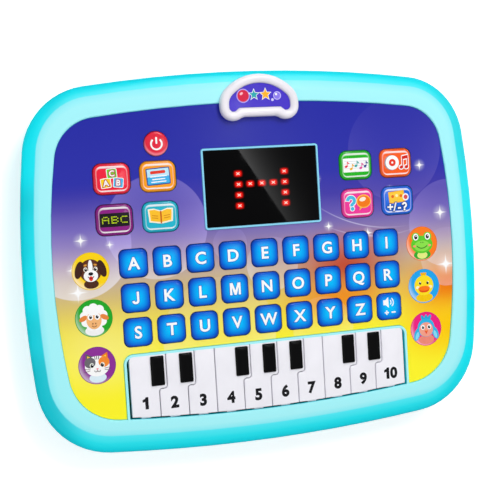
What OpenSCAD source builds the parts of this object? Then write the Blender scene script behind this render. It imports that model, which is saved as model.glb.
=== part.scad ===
// Toy learning computer: a flat pad that lies on its back, face up.
// X runs to the right, Y to the badge at the top edge, Z up out of the face.
// The origin is under the middle of the housing, on the surface that the feet stand on.

/* [Letter keys] */
// Number of letter keys in a row
key_cols = 9; // [9:1:9]
// Number of rows of letter keys
key_rows = 3; // [3:1:3]
// Side of a letter key
key_size = 14; // [12:0.5:15]
// Gap between two letter keys
key_gap = 3; // [2.6:0.2:5]
// Corner radius of a letter key
key_corner_r = 3; // [1.5:0.5:5]
// How far a letter key stands out of the film
key_proud = 1; // [0.8:0.1:1.6]

/* [Function buttons] */
// Width of a function button
func_w = 18.2; // [16:0.2:20]
// Height of a function button
func_h = 15; // [13:0.5:17]
// Corner radius of a function button
func_corner_r = 4; // [2:0.5:6]
// Gap between two function buttons in a row
func_gap_x = 4.8; // [3:0.2:7]
// Gap between the two rows of function buttons
func_gap_y = 4.9; // [3:0.1:7]
// How far a function button stands out of the film
func_proud = 1.2; // [0.8:0.1:2]
// Diameter of the power button
power_d = 12; // [10:0.5:14]
// How far the power button stands out of the film
power_proud = 1.6; // [1:0.1:2.4]
// Gap between the power button and the buttons below it
power_gap = 2.5; // [2:0.5:6]
// Travel of the letter keys, function buttons and power button
press_travel = 0.6; // [0.4:0.1:0.8]

/* [Screen] */
// Width of the frame round the screen
screen_w = 62.4; // [56:0.2:68]
// Height of the frame round the screen
screen_h = 40.5; // [36:0.5:44]
// How far the screen lies to the right of the middle
screen_x = 0.8; // [0:0.1:1.5]
// Thickness of the frame round the screen
screen_frame_t = 1.1; // [0.8:0.1:2]
// Thickness of the screen window
window_t = 1.6; // [1.2:0.1:2]
// Width of the ledge that the window sits on
window_ledge = 1.2; // [0.8:0.1:2]
// Lamps across the matrix, and down it
lamp_count = 5; // [5:1:7]
// Lamp spacing across the matrix
lamp_pitch_x = 6.2; // [5.6:0.1:6.6]
// Lamp spacing down the matrix
lamp_pitch_y = 5.4; // [4.6:0.1:5.6]
// Lamp diameter
lamp_d = 3; // [2:0.1:4]
// How far the middle lamp lies above the middle of the screen
lamp_rise = 1.6; // [-1:0.1:2]

/* [Piano keys] */
// Number of piano keys
piano_keys = 10; // [10:1:10]
// Spacing of the piano keys
piano_pitch = 14.65; // [13.8:0.05:15.2]
// How far the piano keys lie to the right of the middle
piano_x = 0.5; // [0:0.1:1]
// Extra width of the last piano key
piano_last_extra = 2.3; // [0:0.1:3]
// Clearance between two piano keys
piano_clear = 0.5; // [0.4:0.05:0.7]
// Gap between the piano keys and the walls of their bay
piano_wall_gap = 1; // [0.7:0.1:1.5]
// Length of the piano bay
piano_bay_len = 34; // [31:0.5:38]
// Thickness of the plate of a piano key
piano_plate_t = 2.2; // [1.8:0.1:2.6]
// How far the tail of a piano key reaches over its right neighbour
piano_shift = 4.1; // [3:0.1:5]
// Width of a black key
black_w = 6.8; // [5.5:0.1:7.6]
// Length of a black key
black_len = 14.8; // [12:0.2:16.6]
// Height of a black key above the white ones
black_h = 1.2; // [0.8:0.1:2]
// Width of the raised lip round the piano bay
lip_w = 1.2; // [1:0.1:2]
// Diameter of the rod that the piano keys turn on
rod_d = 2; // [1.6:0.1:2.2]
// Running clearance round the rod, on the radius
rod_clear = 0.06; // [0.04:0.01:0.1]
// Wall of the barrel round the rod
barrel_wall = 1.1; // [0.9:0.1:1.3]

/* [Layout of the face] */
// Film above the screen frame
film_over_screen = 22.6; // [20:0.2:26]
// Film between the screen frame and the letter keys
screen_key_gap = 6.6; // [5:0.2:9]
// Film between the letter keys and the function buttons
func_key_gap = 7.4; // [5:0.2:9]
// Film between the screen frame and the function buttons
screen_func_gap = 12.6; // [11:0.2:16]
// Film between the letter keys and the piano bay
key_piano_gap = 5; // [3.2:0.2:6]
// Diameter of the printed touch spots beside the letter keys
spot_d = 18.4; // [16:0.2:20]
// Film between the letter keys and the touch spots
spot_gap = 5; // [4:0.5:8]
// Film outside the touch spots
spot_margin = 9; // [7:0.5:14]

/* [Housing outline] */
// Width of the bezel at the sides
bezel_side = 14.1; // [12:0.1:16]
// Width of the bezel at the top
bezel_top = 15.6; // [13:0.1:18]
// Width of the bezel at the bottom
bezel_bottom = 16.5; // [14:0.1:19]
// Width of the rolled outer band of the bezel at the sides
roll_side = 6.2; // [4:0.1:6.5]
// Width of the rolled outer band at the top
roll_top = 5.4; // [4:0.1:6.5]
// Width of the rolled outer band at the bottom
roll_bottom = 9; // [6:0.1:10]
// Radius of the bowed sides of the housing
side_bow_r = 500; // [400:10:700]
// Radius of the bowed top edge of the housing
top_bow_r = 710; // [500:10:1200]
// Radius of the bowed bottom edge of the housing
bottom_bow_r = 870; // [600:10:1200]
// Radius of the top corners of the housing
top_corner_r = 35; // [30:1:40]
// Radius of the bottom corners of the housing
bottom_corner_r = 38; // [33:1:43]
// Radius of the bowed sides of the film
film_side_bow_r = 336; // [280:10:500]
// Radius of the top corners of the film
film_top_corner_r = 22; // [18:1:26]
// Radius of the bottom corners of the film
film_bottom_corner_r = 26; // [20:1:30]

/* [Housing section] */
// Height of the feet
foot_h = 1; // [0.8:0.1:2]
// Height of the rear housing above the feet
rear_h = 11.5; // [11:0.1:14]
// Height of the front housing, from the parting line to the bezel's inner edge
front_h = 10.7; // [10.4:0.1:13]
// Height of the widest girth above the parting line
girth_up = 8; // [6.5:0.1:8.5]
// Wall of the two housings
wall = 2.2; // [1.8:0.1:2.6]
// Thickness of the deck that carries the film
deck_t = 2; // [1.6:0.1:2.4]
// Thickness of the film
film_t = 0.4; // [0.3:0.05:0.6]
// Depth of the film below the bezel's inner edge
film_recess = 0.8; // [0.5:0.1:1]
// How far the floor is set in from the girth
floor_inset = 15; // [12:0.5:17]
// Thickness of the floor
floor_t = 2; // [1.6:0.1:2.4]

/* [Badge] */
// Width of the badge rim
badge_w = 41.6; // [36:0.2:46]
// Radius of the badge's top arc
badge_arc_r = 25; // [22:0.5:28]
// Radius of the badge's shoulders
badge_shoulder_r = 10.8; // [8:0.2:12]
// Radius of the badge's two lobes
badge_lobe_r = 6.8; // [5:0.1:8]
// Height of the badge from top to bottom
badge_len = 23.2; // [21:0.2:25]
// Depth of the shallow notch between the lobes
badge_notch = 1.8; // [1:0.1:3]
// Width of the badge rim's border
badge_border = 4.6; // [3.5:0.1:5]
// Thickness of the badge rim
badge_t = 3.8; // [2.6:0.1:4.6]
// Thickness of the badge plate
badge_plate_t = 2.2; // [1.6:0.1:2.5]
// Distance from the badge's top to the top edge of the housing
badge_margin = 2; // [1:0.1:3]
// How far the badge lies to the right of the middle
badge_x = 1.2; // [0:0.1:2]

/* [Electronics] */
// Thickness of the main board
board_t = 1.2; // [1:0.1:1.6]
// Diameter of a switch dome
dome_d = 7; // [5:0.5:8]
// Diameter of a cell
cell_d = 10.5; // [10:0.1:10.5]
// Length of a cell
cell_len = 44.5; // [43.5:0.5:44.5]
// Number of cells
cell_count = 3; // [2:1:3]
// Diameter of the loudspeaker
speaker_d = 40; // [30:1:42]
// Height of the loudspeaker
speaker_h = 8.5; // [7:0.5:9]
// Diameter of the screws
screw_d = 2.2; // [1.8:0.1:2.4]

/* [Hidden] */
LETTERS = "abcdefghijklmnopqrstuvwxyz";
LETTER_NODES = [for (c = LETTERS) str("key_", c)];
KEY_NODES = concat(LETTER_NODES, ["key_volume"]);
FUNC_NODES = [for (s = ["left", "right"]) for (i = [1:4]) str("function_", s, "_", i)];
PIANO_NODES = [for (i = [1:piano_keys]) str("piano_key_", i)];
$fn = 48;

// Small fits
seat_clear = 0.2;      // between a part and the recess that it sits in
pad_clear = 0.3;       // between a key and its hole
thread_clear = 0.02;   // between a screw and its pilot hole
part_gap = 0.1;        // running gap at a stop
overlap = 0.6;         // how far two features of one part run into each other
turn_in = 0.8;         // how far the housings turn in from the girth to the parting line

// Heights, from the surface that the feet stand on
foot_sink = 0.3;       // how far the floor lies above the rear housing's lowest edge
floor_z = foot_h + foot_sink;
floor_top = floor_z + floor_t;
part_z = foot_h + rear_h;
girth_z = part_z + girth_up;
shoulder_z = girth_z - 3.4;    // foot of the thick shoulder inside the bezel
lip_z = part_z + front_h;
film_top = lip_z - film_recess;
deck_top = film_top - film_t;
deck_bot = deck_top - deck_t;
bezel_bot = deck_bot - 0.4;
crease_z = lip_z - 0.5;
crown_z = lip_z + 0.1;
flange_t = 0.8;        // flange that holds a key in
flange_w = 0.8;
dome_h = 0.7;          // switch dome
dome_top = deck_bot - flange_t - press_travel - part_gap;
board_top = dome_top - dome_h;
board_z = board_top - board_t;

// Face layout in X
key_pitch = key_size + key_gap;
grid_w = key_cols * key_pitch - key_gap;
grid_h = key_rows * key_pitch - key_gap;
film_half_w = grid_w / 2 + spot_gap + spot_d + spot_margin;
half_w = film_half_w + bezel_side;
func_x_in = screen_w / 2 + screen_func_gap + func_w / 2;
func_x_out = func_x_in + func_w + func_gap_x;
piano_w = piano_keys * piano_pitch + piano_last_extra;
bay_w = piano_w + 2 * piano_wall_gap;

// Face layout in Y, set out from the bottom edge of the film to its top edge
film_len = film_over_screen + screen_h + screen_key_gap + grid_h + key_piano_gap + piano_bay_len;
body_len = film_len + bezel_top + bezel_bottom;
half_len = body_len / 2;
film_top_y = half_len - bezel_top;
film_bottom_y = -half_len + bezel_bottom;
screen_top_y = film_top_y - film_over_screen;
screen_y = screen_top_y - screen_h / 2;
grid_top_y = screen_top_y - screen_h - screen_key_gap;
grid_bottom_y = grid_top_y - grid_h;
bay_top_y = grid_bottom_y - key_piano_gap;
func_y_low = grid_top_y + func_key_gap + func_h / 2;
func_y_high = func_y_low + func_h + func_gap_y;
power_y = func_y_high + func_h / 2 + power_gap + power_d / 2;
waist_y = -5.2;        // Y of the housing's widest place

// Piano keys
piano_top_z = lip_z;
piano_plate_z = piano_top_z - piano_plate_t;
piano_tail_y = bay_top_y - piano_wall_gap - 0.4;
black_margin = 1;      // plate behind a black key
black_front = 1.7;     // plate in front of a black key
black_right = 1.2;     // plate to the right of a black key
piano_step_y = piano_tail_y - black_margin - black_len - black_front;
has_black = [true, true, false, true, true, true, false, true, true, false];
barrel_r = rod_d / 2 + rod_clear + barrel_wall;
barrel_w = 7;
rod_y = piano_tail_y - 0.4;
rod_z = deck_bot - barrel_r - 0.4;
hanger_t = 2.4;
tab_w = 5;             // tab that hooks under the bezel
tab_t = 1.5;
tab_root = 4;
tab_reach = 3;
tab_z = bezel_bot - part_gap - tab_t;
plunger_d = 5;
plunger_y = film_bottom_y + 13.5;
piano_angle = 3;       // travel of a piano key, in degrees
plunger_z = dome_top + (rod_y - plunger_y + plunger_d / 2) * sin(piano_angle) + 0.15;

// Electronics
board_margin = 3;
board_half_w = max(func_x_out, bay_w / 2) + dome_d / 2 + board_margin;
board_y0 = plunger_y - dome_d / 2 - 0.5;
board_y1 = power_y + dome_d / 2 + 0.5;
post_x = board_half_w + 5;
post_top_y = film_top_y - 12.5;
post_bottom_y = film_bottom_y + 15.5;
post_mid_x = half_w - floor_inset - 7;
post_r = 3.6;
bay_wall = 2;
cell_pitch = cell_d + 0.5;
bay_in_x = cell_len + 7;
bay_in_y = cell_count * cell_pitch + 1;
bay_y = screen_y - 4;
bay_roof_t = 1.2;
door_ledge = 1;
door_ear_r = 4.5;
door_ear_x = bay_in_x / 2 + 4.5;
cell_z = floor_top + 0.3 + cell_d / 2;
bay_roof_z = cell_z + cell_d / 2 + 0.3;
speaker_y = bay_y - bay_in_y / 2 - bay_wall - 4 - speaker_d / 2;

// Points of one quarter of a bowed outline, from its side (angle 0) to its end (angle 90).
// a, b: half width and half length; rs, re, rc: radii of the side, the end and the corner.
SIDE_N = 4;
CORNER_N = 12;
END_N = 5;
function arc_pts(c, r, a0, a1, n) =
    [for (i = [0:n]) let (t = a0 + (a1 - a0) * i / n) c + r * [cos(t), sin(t)]];
function corner_centre(a, b, rs, re, rc) =
    let (p = [a - rs, 0], q = [0, b - re], d = norm(q - p), u = (q - p) / d,
         t = (pow(rs - rc, 2) - pow(re - rc, 2) + d * d) / (2 * d),
         h = sqrt(pow(rs - rc, 2) - t * t))
    p + u * t + [-u.y, u.x] * h;
function quarter(a, b, rs, re, rc) =
    let (c = corner_centre(a, b, rs, re, rc),
         s = atan2(c.y, c.x - (a - rs)), e = atan2(c.y - (b - re), c.x),
         side = arc_pts([a - rs, 0], rs, 0, s, SIDE_N),
         corner = arc_pts(c, rc, s, e, CORNER_N),
         end = arc_pts([0, b - re], re, e, 90, END_N))
    concat(side, [for (i = [1:CORNER_N]) corner[i]], [for (i = [1:END_N]) end[i]]);

// A guide is [half width, top, bottom, side r, top r, bottom r, top corner r, bottom corner r, waist].
GIRTH = [half_w, half_len, half_len, side_bow_r, top_bow_r, bottom_bow_r,
         top_corner_r, bottom_corner_r, waist_y];
CREASE = [half_w - roll_side, half_len - roll_top, half_len - roll_bottom,
          side_bow_r, top_bow_r, bottom_bow_r,
          top_corner_r - roll_side, bottom_corner_r - roll_side, waist_y];
FILM = [film_half_w, film_top_y, -film_bottom_y, film_side_bow_r, top_bow_r, bottom_bow_r,
        film_top_corner_r, film_bottom_corner_r, 0];

// Closed outline of a guide, set in by d, as points that run anticlockwise from the right side.
function outline(g, d = 0) =
    let (w = g[8],
         top = quarter(g[0] - d, g[1] - w - d, g[3] - d, g[4] - d, g[6] - d),
         bot = quarter(g[0] - d, g[2] + w - d, g[3] - d, g[5] - d, g[7] - d),
         n = len(top) - 1)
    concat([for (i = [0:n]) [top[i].x, w + top[i].y]],
           [for (i = [n - 1:-1:0]) [-top[i].x, w + top[i].y]],
           [for (i = [1:n]) [-bot[i].x, w - bot[i].y]],
           [for (i = [n - 1:-1:1]) [bot[i].x, w - bot[i].y]]);
function at_z(pts, z) = [for (p = pts) [p.x, p.y, z]];
function blend(p, q, t) = [for (i = [0:len(p) - 1]) p[i] * (1 - t) + q[i] * t];

// Skin over a closed chain of rings: outside upwards, then inside downwards.
module ring_loft(rings) {
    m = len(rings);
    n = len(rings[0]);
    pts = [for (r = rings) for (p = r) p];
    faces = [for (k = [0:m - 1]) for (i = [0:n - 1])
             let (a = k * n + i, b = k * n + (i + 1) % n,
                  c = (k + 1) % m * n + i, d = (k + 1) % m * n + (i + 1) % n)
             each [[a, c, d], [a, d, b]]];
    polyhedron(pts, faces, convexity = 6);
}

// Skin over an open stack of rings, from the lowest to the highest, closed at both ends.
module stack_loft(rings) {
    m = len(rings);
    n = len(rings[0]);
    pts = [for (r = rings) for (p = r) p];
    sides = [for (k = [0:m - 2]) for (i = [0:n - 1])
             let (a = k * n + i, b = k * n + (i + 1) % n, c = a + n, d = b + n)
             each [[a, c, d], [a, d, b]]];
    bottom = [for (i = [0:n - 1]) i];
    top = [for (i = [n - 1:-1:0]) (m - 1) * n + i];
    polyhedron(pts, concat(sides, [bottom, top]), convexity = 4);
}

module rounded(w, h, r) {
    square([w - 2 * r, h], center = true);
    square([w, h - 2 * r], center = true);
    for (x = [-1, 1], y = [-1, 1])
        translate([x * (w / 2 - r), y * (h / 2 - r)]) circle(r);
}

module slab(z0, z1) {
    translate([0, 0, z0]) linear_extrude(z1 - z0) children();
}

// Places of the keys and buttons
function key_x(i) = (i % key_cols - (key_cols - 1) / 2) * key_pitch;
function key_y(i) = grid_top_y - key_size / 2 - floor(i / key_cols) * key_pitch;
function func_side(i) = i < 4 ? -1 : 1;
function func_x(i) = func_side(i) * ((i % 2 == 0) == (i < 4) ? func_x_out : func_x_in);
function func_y(i) = i % 4 < 2 ? func_y_high : func_y_low;
power_x = -func_x_in;

module key_shape(d = 0) { rounded(key_size + 2 * d, key_size + 2 * d, key_corner_r + d); }
module func_shape(d = 0) { rounded(func_w + 2 * d, func_h + 2 * d, func_corner_r + d); }
module power_shape(d = 0) { circle(d = power_d + 2 * d); }

module each_pad(d) {
    for (i = [0:key_cols * key_rows - 1]) translate([key_x(i), key_y(i)]) key_shape(d);
    for (i = [0:7]) translate([func_x(i), func_y(i)]) func_shape(d);
    translate([power_x, power_y]) power_shape(d);
}

screen_corner_r = 1.5;
frame_proud = 0.5;
module screen_shape(d = 0) {
    translate([screen_x, screen_y])
        rounded(screen_w + 2 * d, screen_h + 2 * d, max(0.4, screen_corner_r + d));
}

// Bay of the piano keys, grown by d; it runs past the film's bottom edge
bay_corner_r = 3.5;
module bay_shape(d = 0) {
    w = bay_w + 2 * d;
    r = bay_corner_r + d;
    translate([piano_x, bay_top_y + d]) {
        translate([-w / 2, -2 * piano_bay_len]) square([w, 2 * piano_bay_len - r]);
        translate([-w / 2 + r, -2 * piano_bay_len]) square([w - 2 * r, 2 * piano_bay_len]);
        for (x = [-1, 1]) translate([x * (w / 2 - r), -r]) circle(r);
    }
}

// Badge outline: top arc, shoulders and lobes as tangent arcs, set in by d
badge_top_y = half_len - badge_margin;
badge_shoulder_x = badge_w / 2 - badge_shoulder_r;
badge_shoulder_dy = badge_arc_r
    - sqrt(pow(badge_arc_r - badge_shoulder_r, 2) - pow(badge_shoulder_x, 2));
badge_lobe_x = badge_w / 2 - badge_lobe_r;
badge_lobe_dy = badge_len - badge_lobe_r;
badge_seat_in = 1.2;   // how far the seat is set in from the badge rim
BADGE_N = 6;
function badge_outline(d) =
    let (a = atan2(badge_arc_r - badge_shoulder_dy, badge_shoulder_x),
         half = concat(
            arc_pts([badge_shoulder_x, -badge_shoulder_dy], badge_shoulder_r - d, 0, a, BADGE_N),
            [for (i = [1:BADGE_N]) let (t = a + (90 - a) * i / BADGE_N)
             [0, -badge_arc_r] + (badge_arc_r - d) * [cos(t), sin(t)]]),
         lobe = arc_pts([badge_lobe_x, -badge_lobe_dy], badge_lobe_r - d, -125, 0, 2 * BADGE_N),
         right = concat([[lobe[0].x - badge_notch, -badge_len + badge_notch + d]], lobe, half),
         n = len(right))
    concat([for (p = right) [badge_x + p.x, badge_top_y + p.y]],
           [for (i = [n - 2:-1:0]) [badge_x - right[i].x, badge_top_y + right[i].y]]);

// Housing screws stand in posts; board screws hold the main board to the deck
posts = [for (x = [-1, 1]) each [[x * post_x, post_top_y], [x * post_mid_x, 0],
                                 [x * post_x, post_bottom_y]]];
standoffs = [for (x = [-1, 1]) each [[x * (screen_w / 2 + screen_func_gap / 2), screen_y],
                                     [x * (board_half_w - board_margin), grid_bottom_y + 2]]];
pilot_r = screw_d / 2 + thread_clear;
standoff_r = 2.6;
post_joint_z = part_z + 2;

// Hangers that hold the piano rod under the back edge of the bay
hangers = [piano_edge(0) + hanger_t / 2 + seat_clear, piano_edge(3), piano_edge(7),
           piano_edge(piano_keys) - hanger_t / 2 - seat_clear];
function piano_edge(i) =
    piano_x - piano_w / 2 + i * piano_pitch + (i == piano_keys ? piano_last_extra : 0);

module bezel_ring() {
    roll = 5;
    slope = 28;
    edge_drop = 0.4;   // rounded inner edge of the bezel
    girth = outline(GIRTH);
    crease = outline(CREASE);
    film = outline(FILM);
    edge = outline(FILM, -0.5);
    ring_loft(concat(
        [at_z(outline(GIRTH, turn_in + wall), part_z),
         at_z(outline(GIRTH, turn_in), part_z),
         at_z(outline(GIRTH, turn_in / 4), (part_z + girth_z) / 2)],
        [for (i = [0:roll]) let (t = slope + (90 - slope) * (1 - i / roll),
                                 s = (sin(t) - sin(slope)) / (1 - sin(slope)))
         at_z(blend(crease, girth, s), girth_z + (crease_z - girth_z) * cos(t) / cos(slope))],
        [at_z(blend(crease, edge, 0.5), crown_z),
         at_z(edge, lip_z),
         at_z(film, lip_z - edge_drop),
         at_z(film, bezel_bot),
         at_z(outline(CREASE, wall), bezel_bot),
         at_z(outline(GIRTH, wall + edge_drop), shoulder_z)]));
}

module deck() {
    difference() {
        slab(deck_bot, deck_top) polygon(outline(FILM, -overlap));
        slab(deck_bot - overlap, deck_top + overlap) {
            each_pad(pad_clear);
            screen_shape(-screen_frame_t - window_ledge);
            bay_shape();
        }
        slab(deck_top + film_t - window_t, deck_top + overlap)
            screen_shape(seat_clear - screen_frame_t);
    }
}

module piano_lip() {
    intersection() {
        slab(deck_bot, lip_z) polygon(outline(FILM, -overlap));
        slab(deck_bot, lip_z) difference() {
            bay_shape(lip_w);
            bay_shape();
        }
    }
}

module screen_frame() {
    slab(deck_top - overlap, film_top + frame_proud) difference() {
        screen_shape();
        screen_shape(seat_clear - screen_frame_t);
    }
}

module front_posts() {
    for (p = posts) translate([p.x, p.y, post_joint_z]) difference() {
        cylinder(r = post_r, h = deck_bot + overlap - post_joint_z);
        translate([0, 0, -overlap]) cylinder(r = pilot_r, h = 7);
    }
    for (p = standoffs) translate([p.x, p.y, board_top]) difference() {
        cylinder(r = standoff_r, h = deck_bot + overlap - board_top);
        translate([0, 0, -overlap]) cylinder(r = pilot_r, h = 2.4);
    }
}

module rod_hangers() {
    for (x = hangers) translate([x, rod_y, rod_z]) rotate([0, 90, 0]) difference() {
        union() {
            cylinder(r = barrel_r, h = hanger_t, center = true);
            translate([-(deck_bot - rod_z), 0, -hanger_t / 2])
                cube([deck_bot - rod_z + barrel_r, bay_top_y - rod_y + 2, hanger_t]);
            translate([-(deck_bot - rod_z), bay_top_y - rod_y + part_gap, -hanger_t / 2])
                translate([-overlap, 0, 0]) cube([2 * overlap, 1.8, hanger_t]);
        }
        cylinder(d = rod_d + 2 * thread_clear, h = 2 * hanger_t, center = true);
    }
}

module front_housing() {
    color("turquoise") {
        bezel_ring();
        deck();
        piano_lip();
        screen_frame();
        front_posts();
        rod_hangers();
        slab(bezel_bot + overlap, crown_z) polygon(badge_outline(badge_seat_in));
    }
}

module rear_ring() {
    wall_n = 5;
    floor_land = 2.5;
    function inset(t) = turn_in + (floor_inset - turn_in) * (1 - sin(t));
    function height(t) = foot_h + rear_h * (1 - cos(t));
    ring_loft(concat(
        [at_z(outline(GIRTH, floor_inset + floor_land), foot_h)],
        [for (i = [0:wall_n]) let (t = 90 * i / wall_n) at_z(outline(GIRTH, inset(t)), height(t))],
        [at_z(outline(GIRTH, turn_in + wall), part_z),
         at_z(outline(GIRTH, inset(50) + wall * 0.9), height(50) + wall * 0.6),
         at_z(outline(GIRTH, inset(20) + wall * 0.5), floor_top)]));
}

grille_pitch = 4.2;
grille_slot = 1.8;
module grille() {
    n = floor((speaker_d / 2 - 4) / grille_pitch);
    for (i = [-n:n]) {
        half = sqrt(pow(speaker_d / 2 - 3, 2) - pow(i * grille_pitch, 2));
        translate([0, speaker_y + i * grille_pitch])
            rounded(2 * half, grille_slot, grille_slot / 2 - 0.1);
    }
}

module door_shape(d = 0) {
    translate([0, bay_y]) {
        rounded(bay_in_x + 2 * door_ledge + 2 * d, bay_in_y + 2 * door_ledge + 2 * d, 2);
        translate([door_ear_x, 0]) circle(door_ear_r + d);
    }
}

module battery_bay() {
    translate([0, bay_y, 0]) difference() {
        slab(floor_top - overlap, bay_roof_z + bay_roof_t)
            square([bay_in_x + 2 * bay_wall, bay_in_y + 2 * bay_wall], center = true);
        slab(0, bay_roof_z) square([bay_in_x, bay_in_y], center = true);
    }
    translate([door_ear_x, bay_y, floor_top - overlap])
        cylinder(r = door_ear_r + bay_wall / 2, h = 7);
}

head_r = 2.6;
head_h = 1.4;
well_r = head_r + 0.4;
head_seat_z = part_z - 3;
door_seat_z = floor_z + 1.2;
module rear_posts() {
    for (p = posts) translate([p.x, p.y, floor_z])
        cylinder(r = well_r + 1.4, h = post_joint_z - floor_z);
}

module screw_wells() {
    for (p = posts) translate([p.x, p.y, 0]) {
        translate([0, 0, -overlap]) cylinder(r = well_r, h = head_seat_z + overlap);
        cylinder(r = screw_d / 2 + seat_clear, h = post_joint_z + overlap);
    }
}

foot_r = 6;
feet = [for (x = [-1, 1], y = [-1, 1]) [x * (post_x - 14), y * (half_len - floor_inset - 14)]];
module rear_housing() {
    color("darkturquoise") difference() {
        union() {
            rear_ring();
            slab(floor_z, floor_top) polygon(outline(GIRTH, floor_inset + 1.2));
            battery_bay();
            rear_posts();
            for (f = feet) translate([f.x, f.y, 0])
                cylinder(r1 = foot_r - 0.6, r2 = foot_r, h = floor_z + overlap);
            translate([0, speaker_y, floor_top - overlap]) difference() {
                cylinder(d = speaker_d + 4, h = 3 + overlap);
                cylinder(d = speaker_d + 2 * seat_clear, h = 4 + overlap);
            }
        }
        slab(0, floor_top) door_shape(seat_clear);
        slab(0, floor_top + overlap) grille();
        screw_wells();
        translate([door_ear_x, bay_y, 0]) cylinder(r = pilot_r, h = floor_top + 5);
        slab(0, bay_roof_z) translate([0, bay_y]) square([bay_in_x, bay_in_y], center = true);
    }
}

module battery_door() {
    color("darkturquoise") difference() {
        union() {
            slab(floor_z, floor_top) door_shape();
            for (i = [-2:2]) translate([-bay_in_x / 2 + 6 + i * 1.6, bay_y, floor_z])
                cube([0.8, 14, 0.6], center = true);
        }
        translate([door_ear_x, bay_y, 0]) {
            cylinder(r = head_r + seat_clear, h = door_seat_z);
            cylinder(r = screw_d / 2 + seat_clear, h = floor_top + overlap);
        }
    }
}

module face_film() {
    color("slateblue") slab(deck_top, film_top) difference() {
        polygon(outline(FILM, seat_clear));
        each_pad(pad_clear);
        screen_shape(seat_clear);
        bay_shape(lip_w + seat_clear);
        polygon(badge_outline(badge_seat_in - seat_clear));
    }
}

module screen_window() {
    color("black") slab(film_top - window_t, film_top) screen_shape(-screen_frame_t);
}

// Rim with a round section: outside upwards, then inside downwards
module badge_rim() {
    round_n = 5;
    step_in = 0.2;
    crest = 0.45;      // share of the border outside its crest
    side = 0.4;        // share of the thickness below the round
    land = crown_z + badge_plate_t;
    color("white") ring_loft(concat(
        [at_z(badge_outline(step_in), crown_z), at_z(badge_outline(0), crown_z + step_in)],
        [for (i = [0:round_n]) let (t = 90 * i / round_n)
         at_z(badge_outline(badge_border * crest * (1 - cos(t))),
              crown_z + badge_t * (side + (1 - side) * sin(t)))],
        [for (i = [1:round_n]) let (t = 90 * i / round_n)
         at_z(badge_outline(badge_border * (crest + (1 - crest) * sin(t))),
              land + (crown_z + badge_t - land) * cos(t))],
        [at_z(badge_outline(badge_border), crown_z)]));
}

module badge_plate() {
    color("indigo") slab(crown_z, crown_z + badge_plate_t)
        polygon(badge_outline(badge_border + seat_clear / 2));
}

module dome() {
    cylinder(d1 = dome_d, d2 = dome_d - 2, h = dome_h);
}

module main_board() {
    color("seagreen") {
        difference() {
            slab(board_z, board_top) translate([-board_half_w, board_y0])
                square([2 * board_half_w, board_y1 - board_y0]);
            slab(board_z - overlap, board_top + overlap)
                translate([piano_x - bay_w / 2, rod_y - barrel_r - 1])
                square([bay_w, bay_top_y - rod_y + barrel_r + 4]);
            for (p = standoffs) translate([p.x, p.y, board_z - overlap])
                cylinder(r = screw_d / 2 + seat_clear, h = board_t + 2 * overlap);
        }
        for (i = [0:key_cols * key_rows - 1]) translate([key_x(i), key_y(i), board_top]) dome();
        for (i = [0:7]) translate([func_x(i), func_y(i), board_top]) dome();
        translate([power_x, power_y, board_top]) dome();
        for (i = [0:piano_keys - 1]) translate([piano_mid(i), plunger_y, board_top]) dome();
    }
}

lamp_board_t = 1;
module led_matrix() {
    lamp_top = film_top - window_t - 0.3;
    lamp_z = board_top + lamp_board_t;
    board_w = lamp_count * lamp_pitch_x + 3;
    board_h = lamp_count * lamp_pitch_y + 4;
    color("firebrick") {
        translate([screen_x, screen_y + lamp_rise, board_top]) {
            translate([-board_w / 2, -board_h / 2, 0]) cube([board_w, board_h, lamp_board_t]);
            for (i = [0:lamp_count - 1], j = [0:lamp_count - 1])
                translate([(i - (lamp_count - 1) / 2) * lamp_pitch_x,
                           (j - (lamp_count - 1) / 2) * lamp_pitch_y, lamp_board_t])
                cylinder(d = lamp_d, h = lamp_top - lamp_z);
        }
    }
}

// Cells lie head to tail, each nub to the other side from its neighbour's
function cell_y(i) = bay_y + (i - (cell_count - 1) / 2) * cell_pitch;
function cell_side(i) = i % 2 == 0 ? 1 : -1;
nub_len = 1;
module batteries() {
    color("gold") for (i = [0:cell_count - 1])
        translate([0, cell_y(i), cell_z]) rotate([0, 90 * cell_side(i), 0])
        translate([0, 0, -cell_len / 2]) {
            cylinder(d = cell_d, h = cell_len - nub_len);
            cylinder(d = cell_d * 0.35, h = cell_len);
        }
}

contact_t = 0.5;
spring_d = 5;
module battery_contacts() {
    spring_len = (bay_in_x - cell_len) / 2 - contact_t;
    color("silver") for (s = [-1, 1]) {
        translate([s * (bay_in_x / 2 - contact_t / 2), bay_y, cell_z])
            cube([contact_t, bay_in_y - 2, cell_d - 2], center = true);
        for (i = [0:cell_count - 1])
            translate([s * cell_len / 2, cell_y(i), cell_z]) rotate([0, 90 * s, 0])
            cylinder(d1 = spring_d - 1, d2 = spring_d, h = spring_len);
    }
}

module speaker() {
    color("dimgray") translate([0, speaker_y, floor_top]) {
        cylinder(d = speaker_d, h = 1.2);
        translate([0, 0, 1.2]) cylinder(d1 = speaker_d - 4, d2 = speaker_d * 0.5, h = speaker_h - 4.7);
        translate([0, 0, speaker_h - 3.5]) cylinder(d = speaker_d * 0.5, h = 3.5);
    }
}

module screw(head_z, len) {
    translate([0, 0, head_z - head_h]) difference() {
        cylinder(r = head_r, h = head_h);
        for (a = [0, 90]) rotate(a) cube([head_r * 1.2, 0.7, head_h], center = true);
    }
    translate([0, 0, head_z]) cylinder(d = screw_d, h = len);
}

module screws() {
    color("silver") {
        for (p = posts) translate([p.x, p.y, 0]) screw(head_seat_z, post_joint_z - head_seat_z + 5.5);
        for (p = standoffs) translate([p.x, p.y, 0]) screw(board_z, board_t + 1.6);
        translate([door_ear_x, bay_y, 0]) screw(door_seat_z, floor_t + 3);
    }
}

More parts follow.
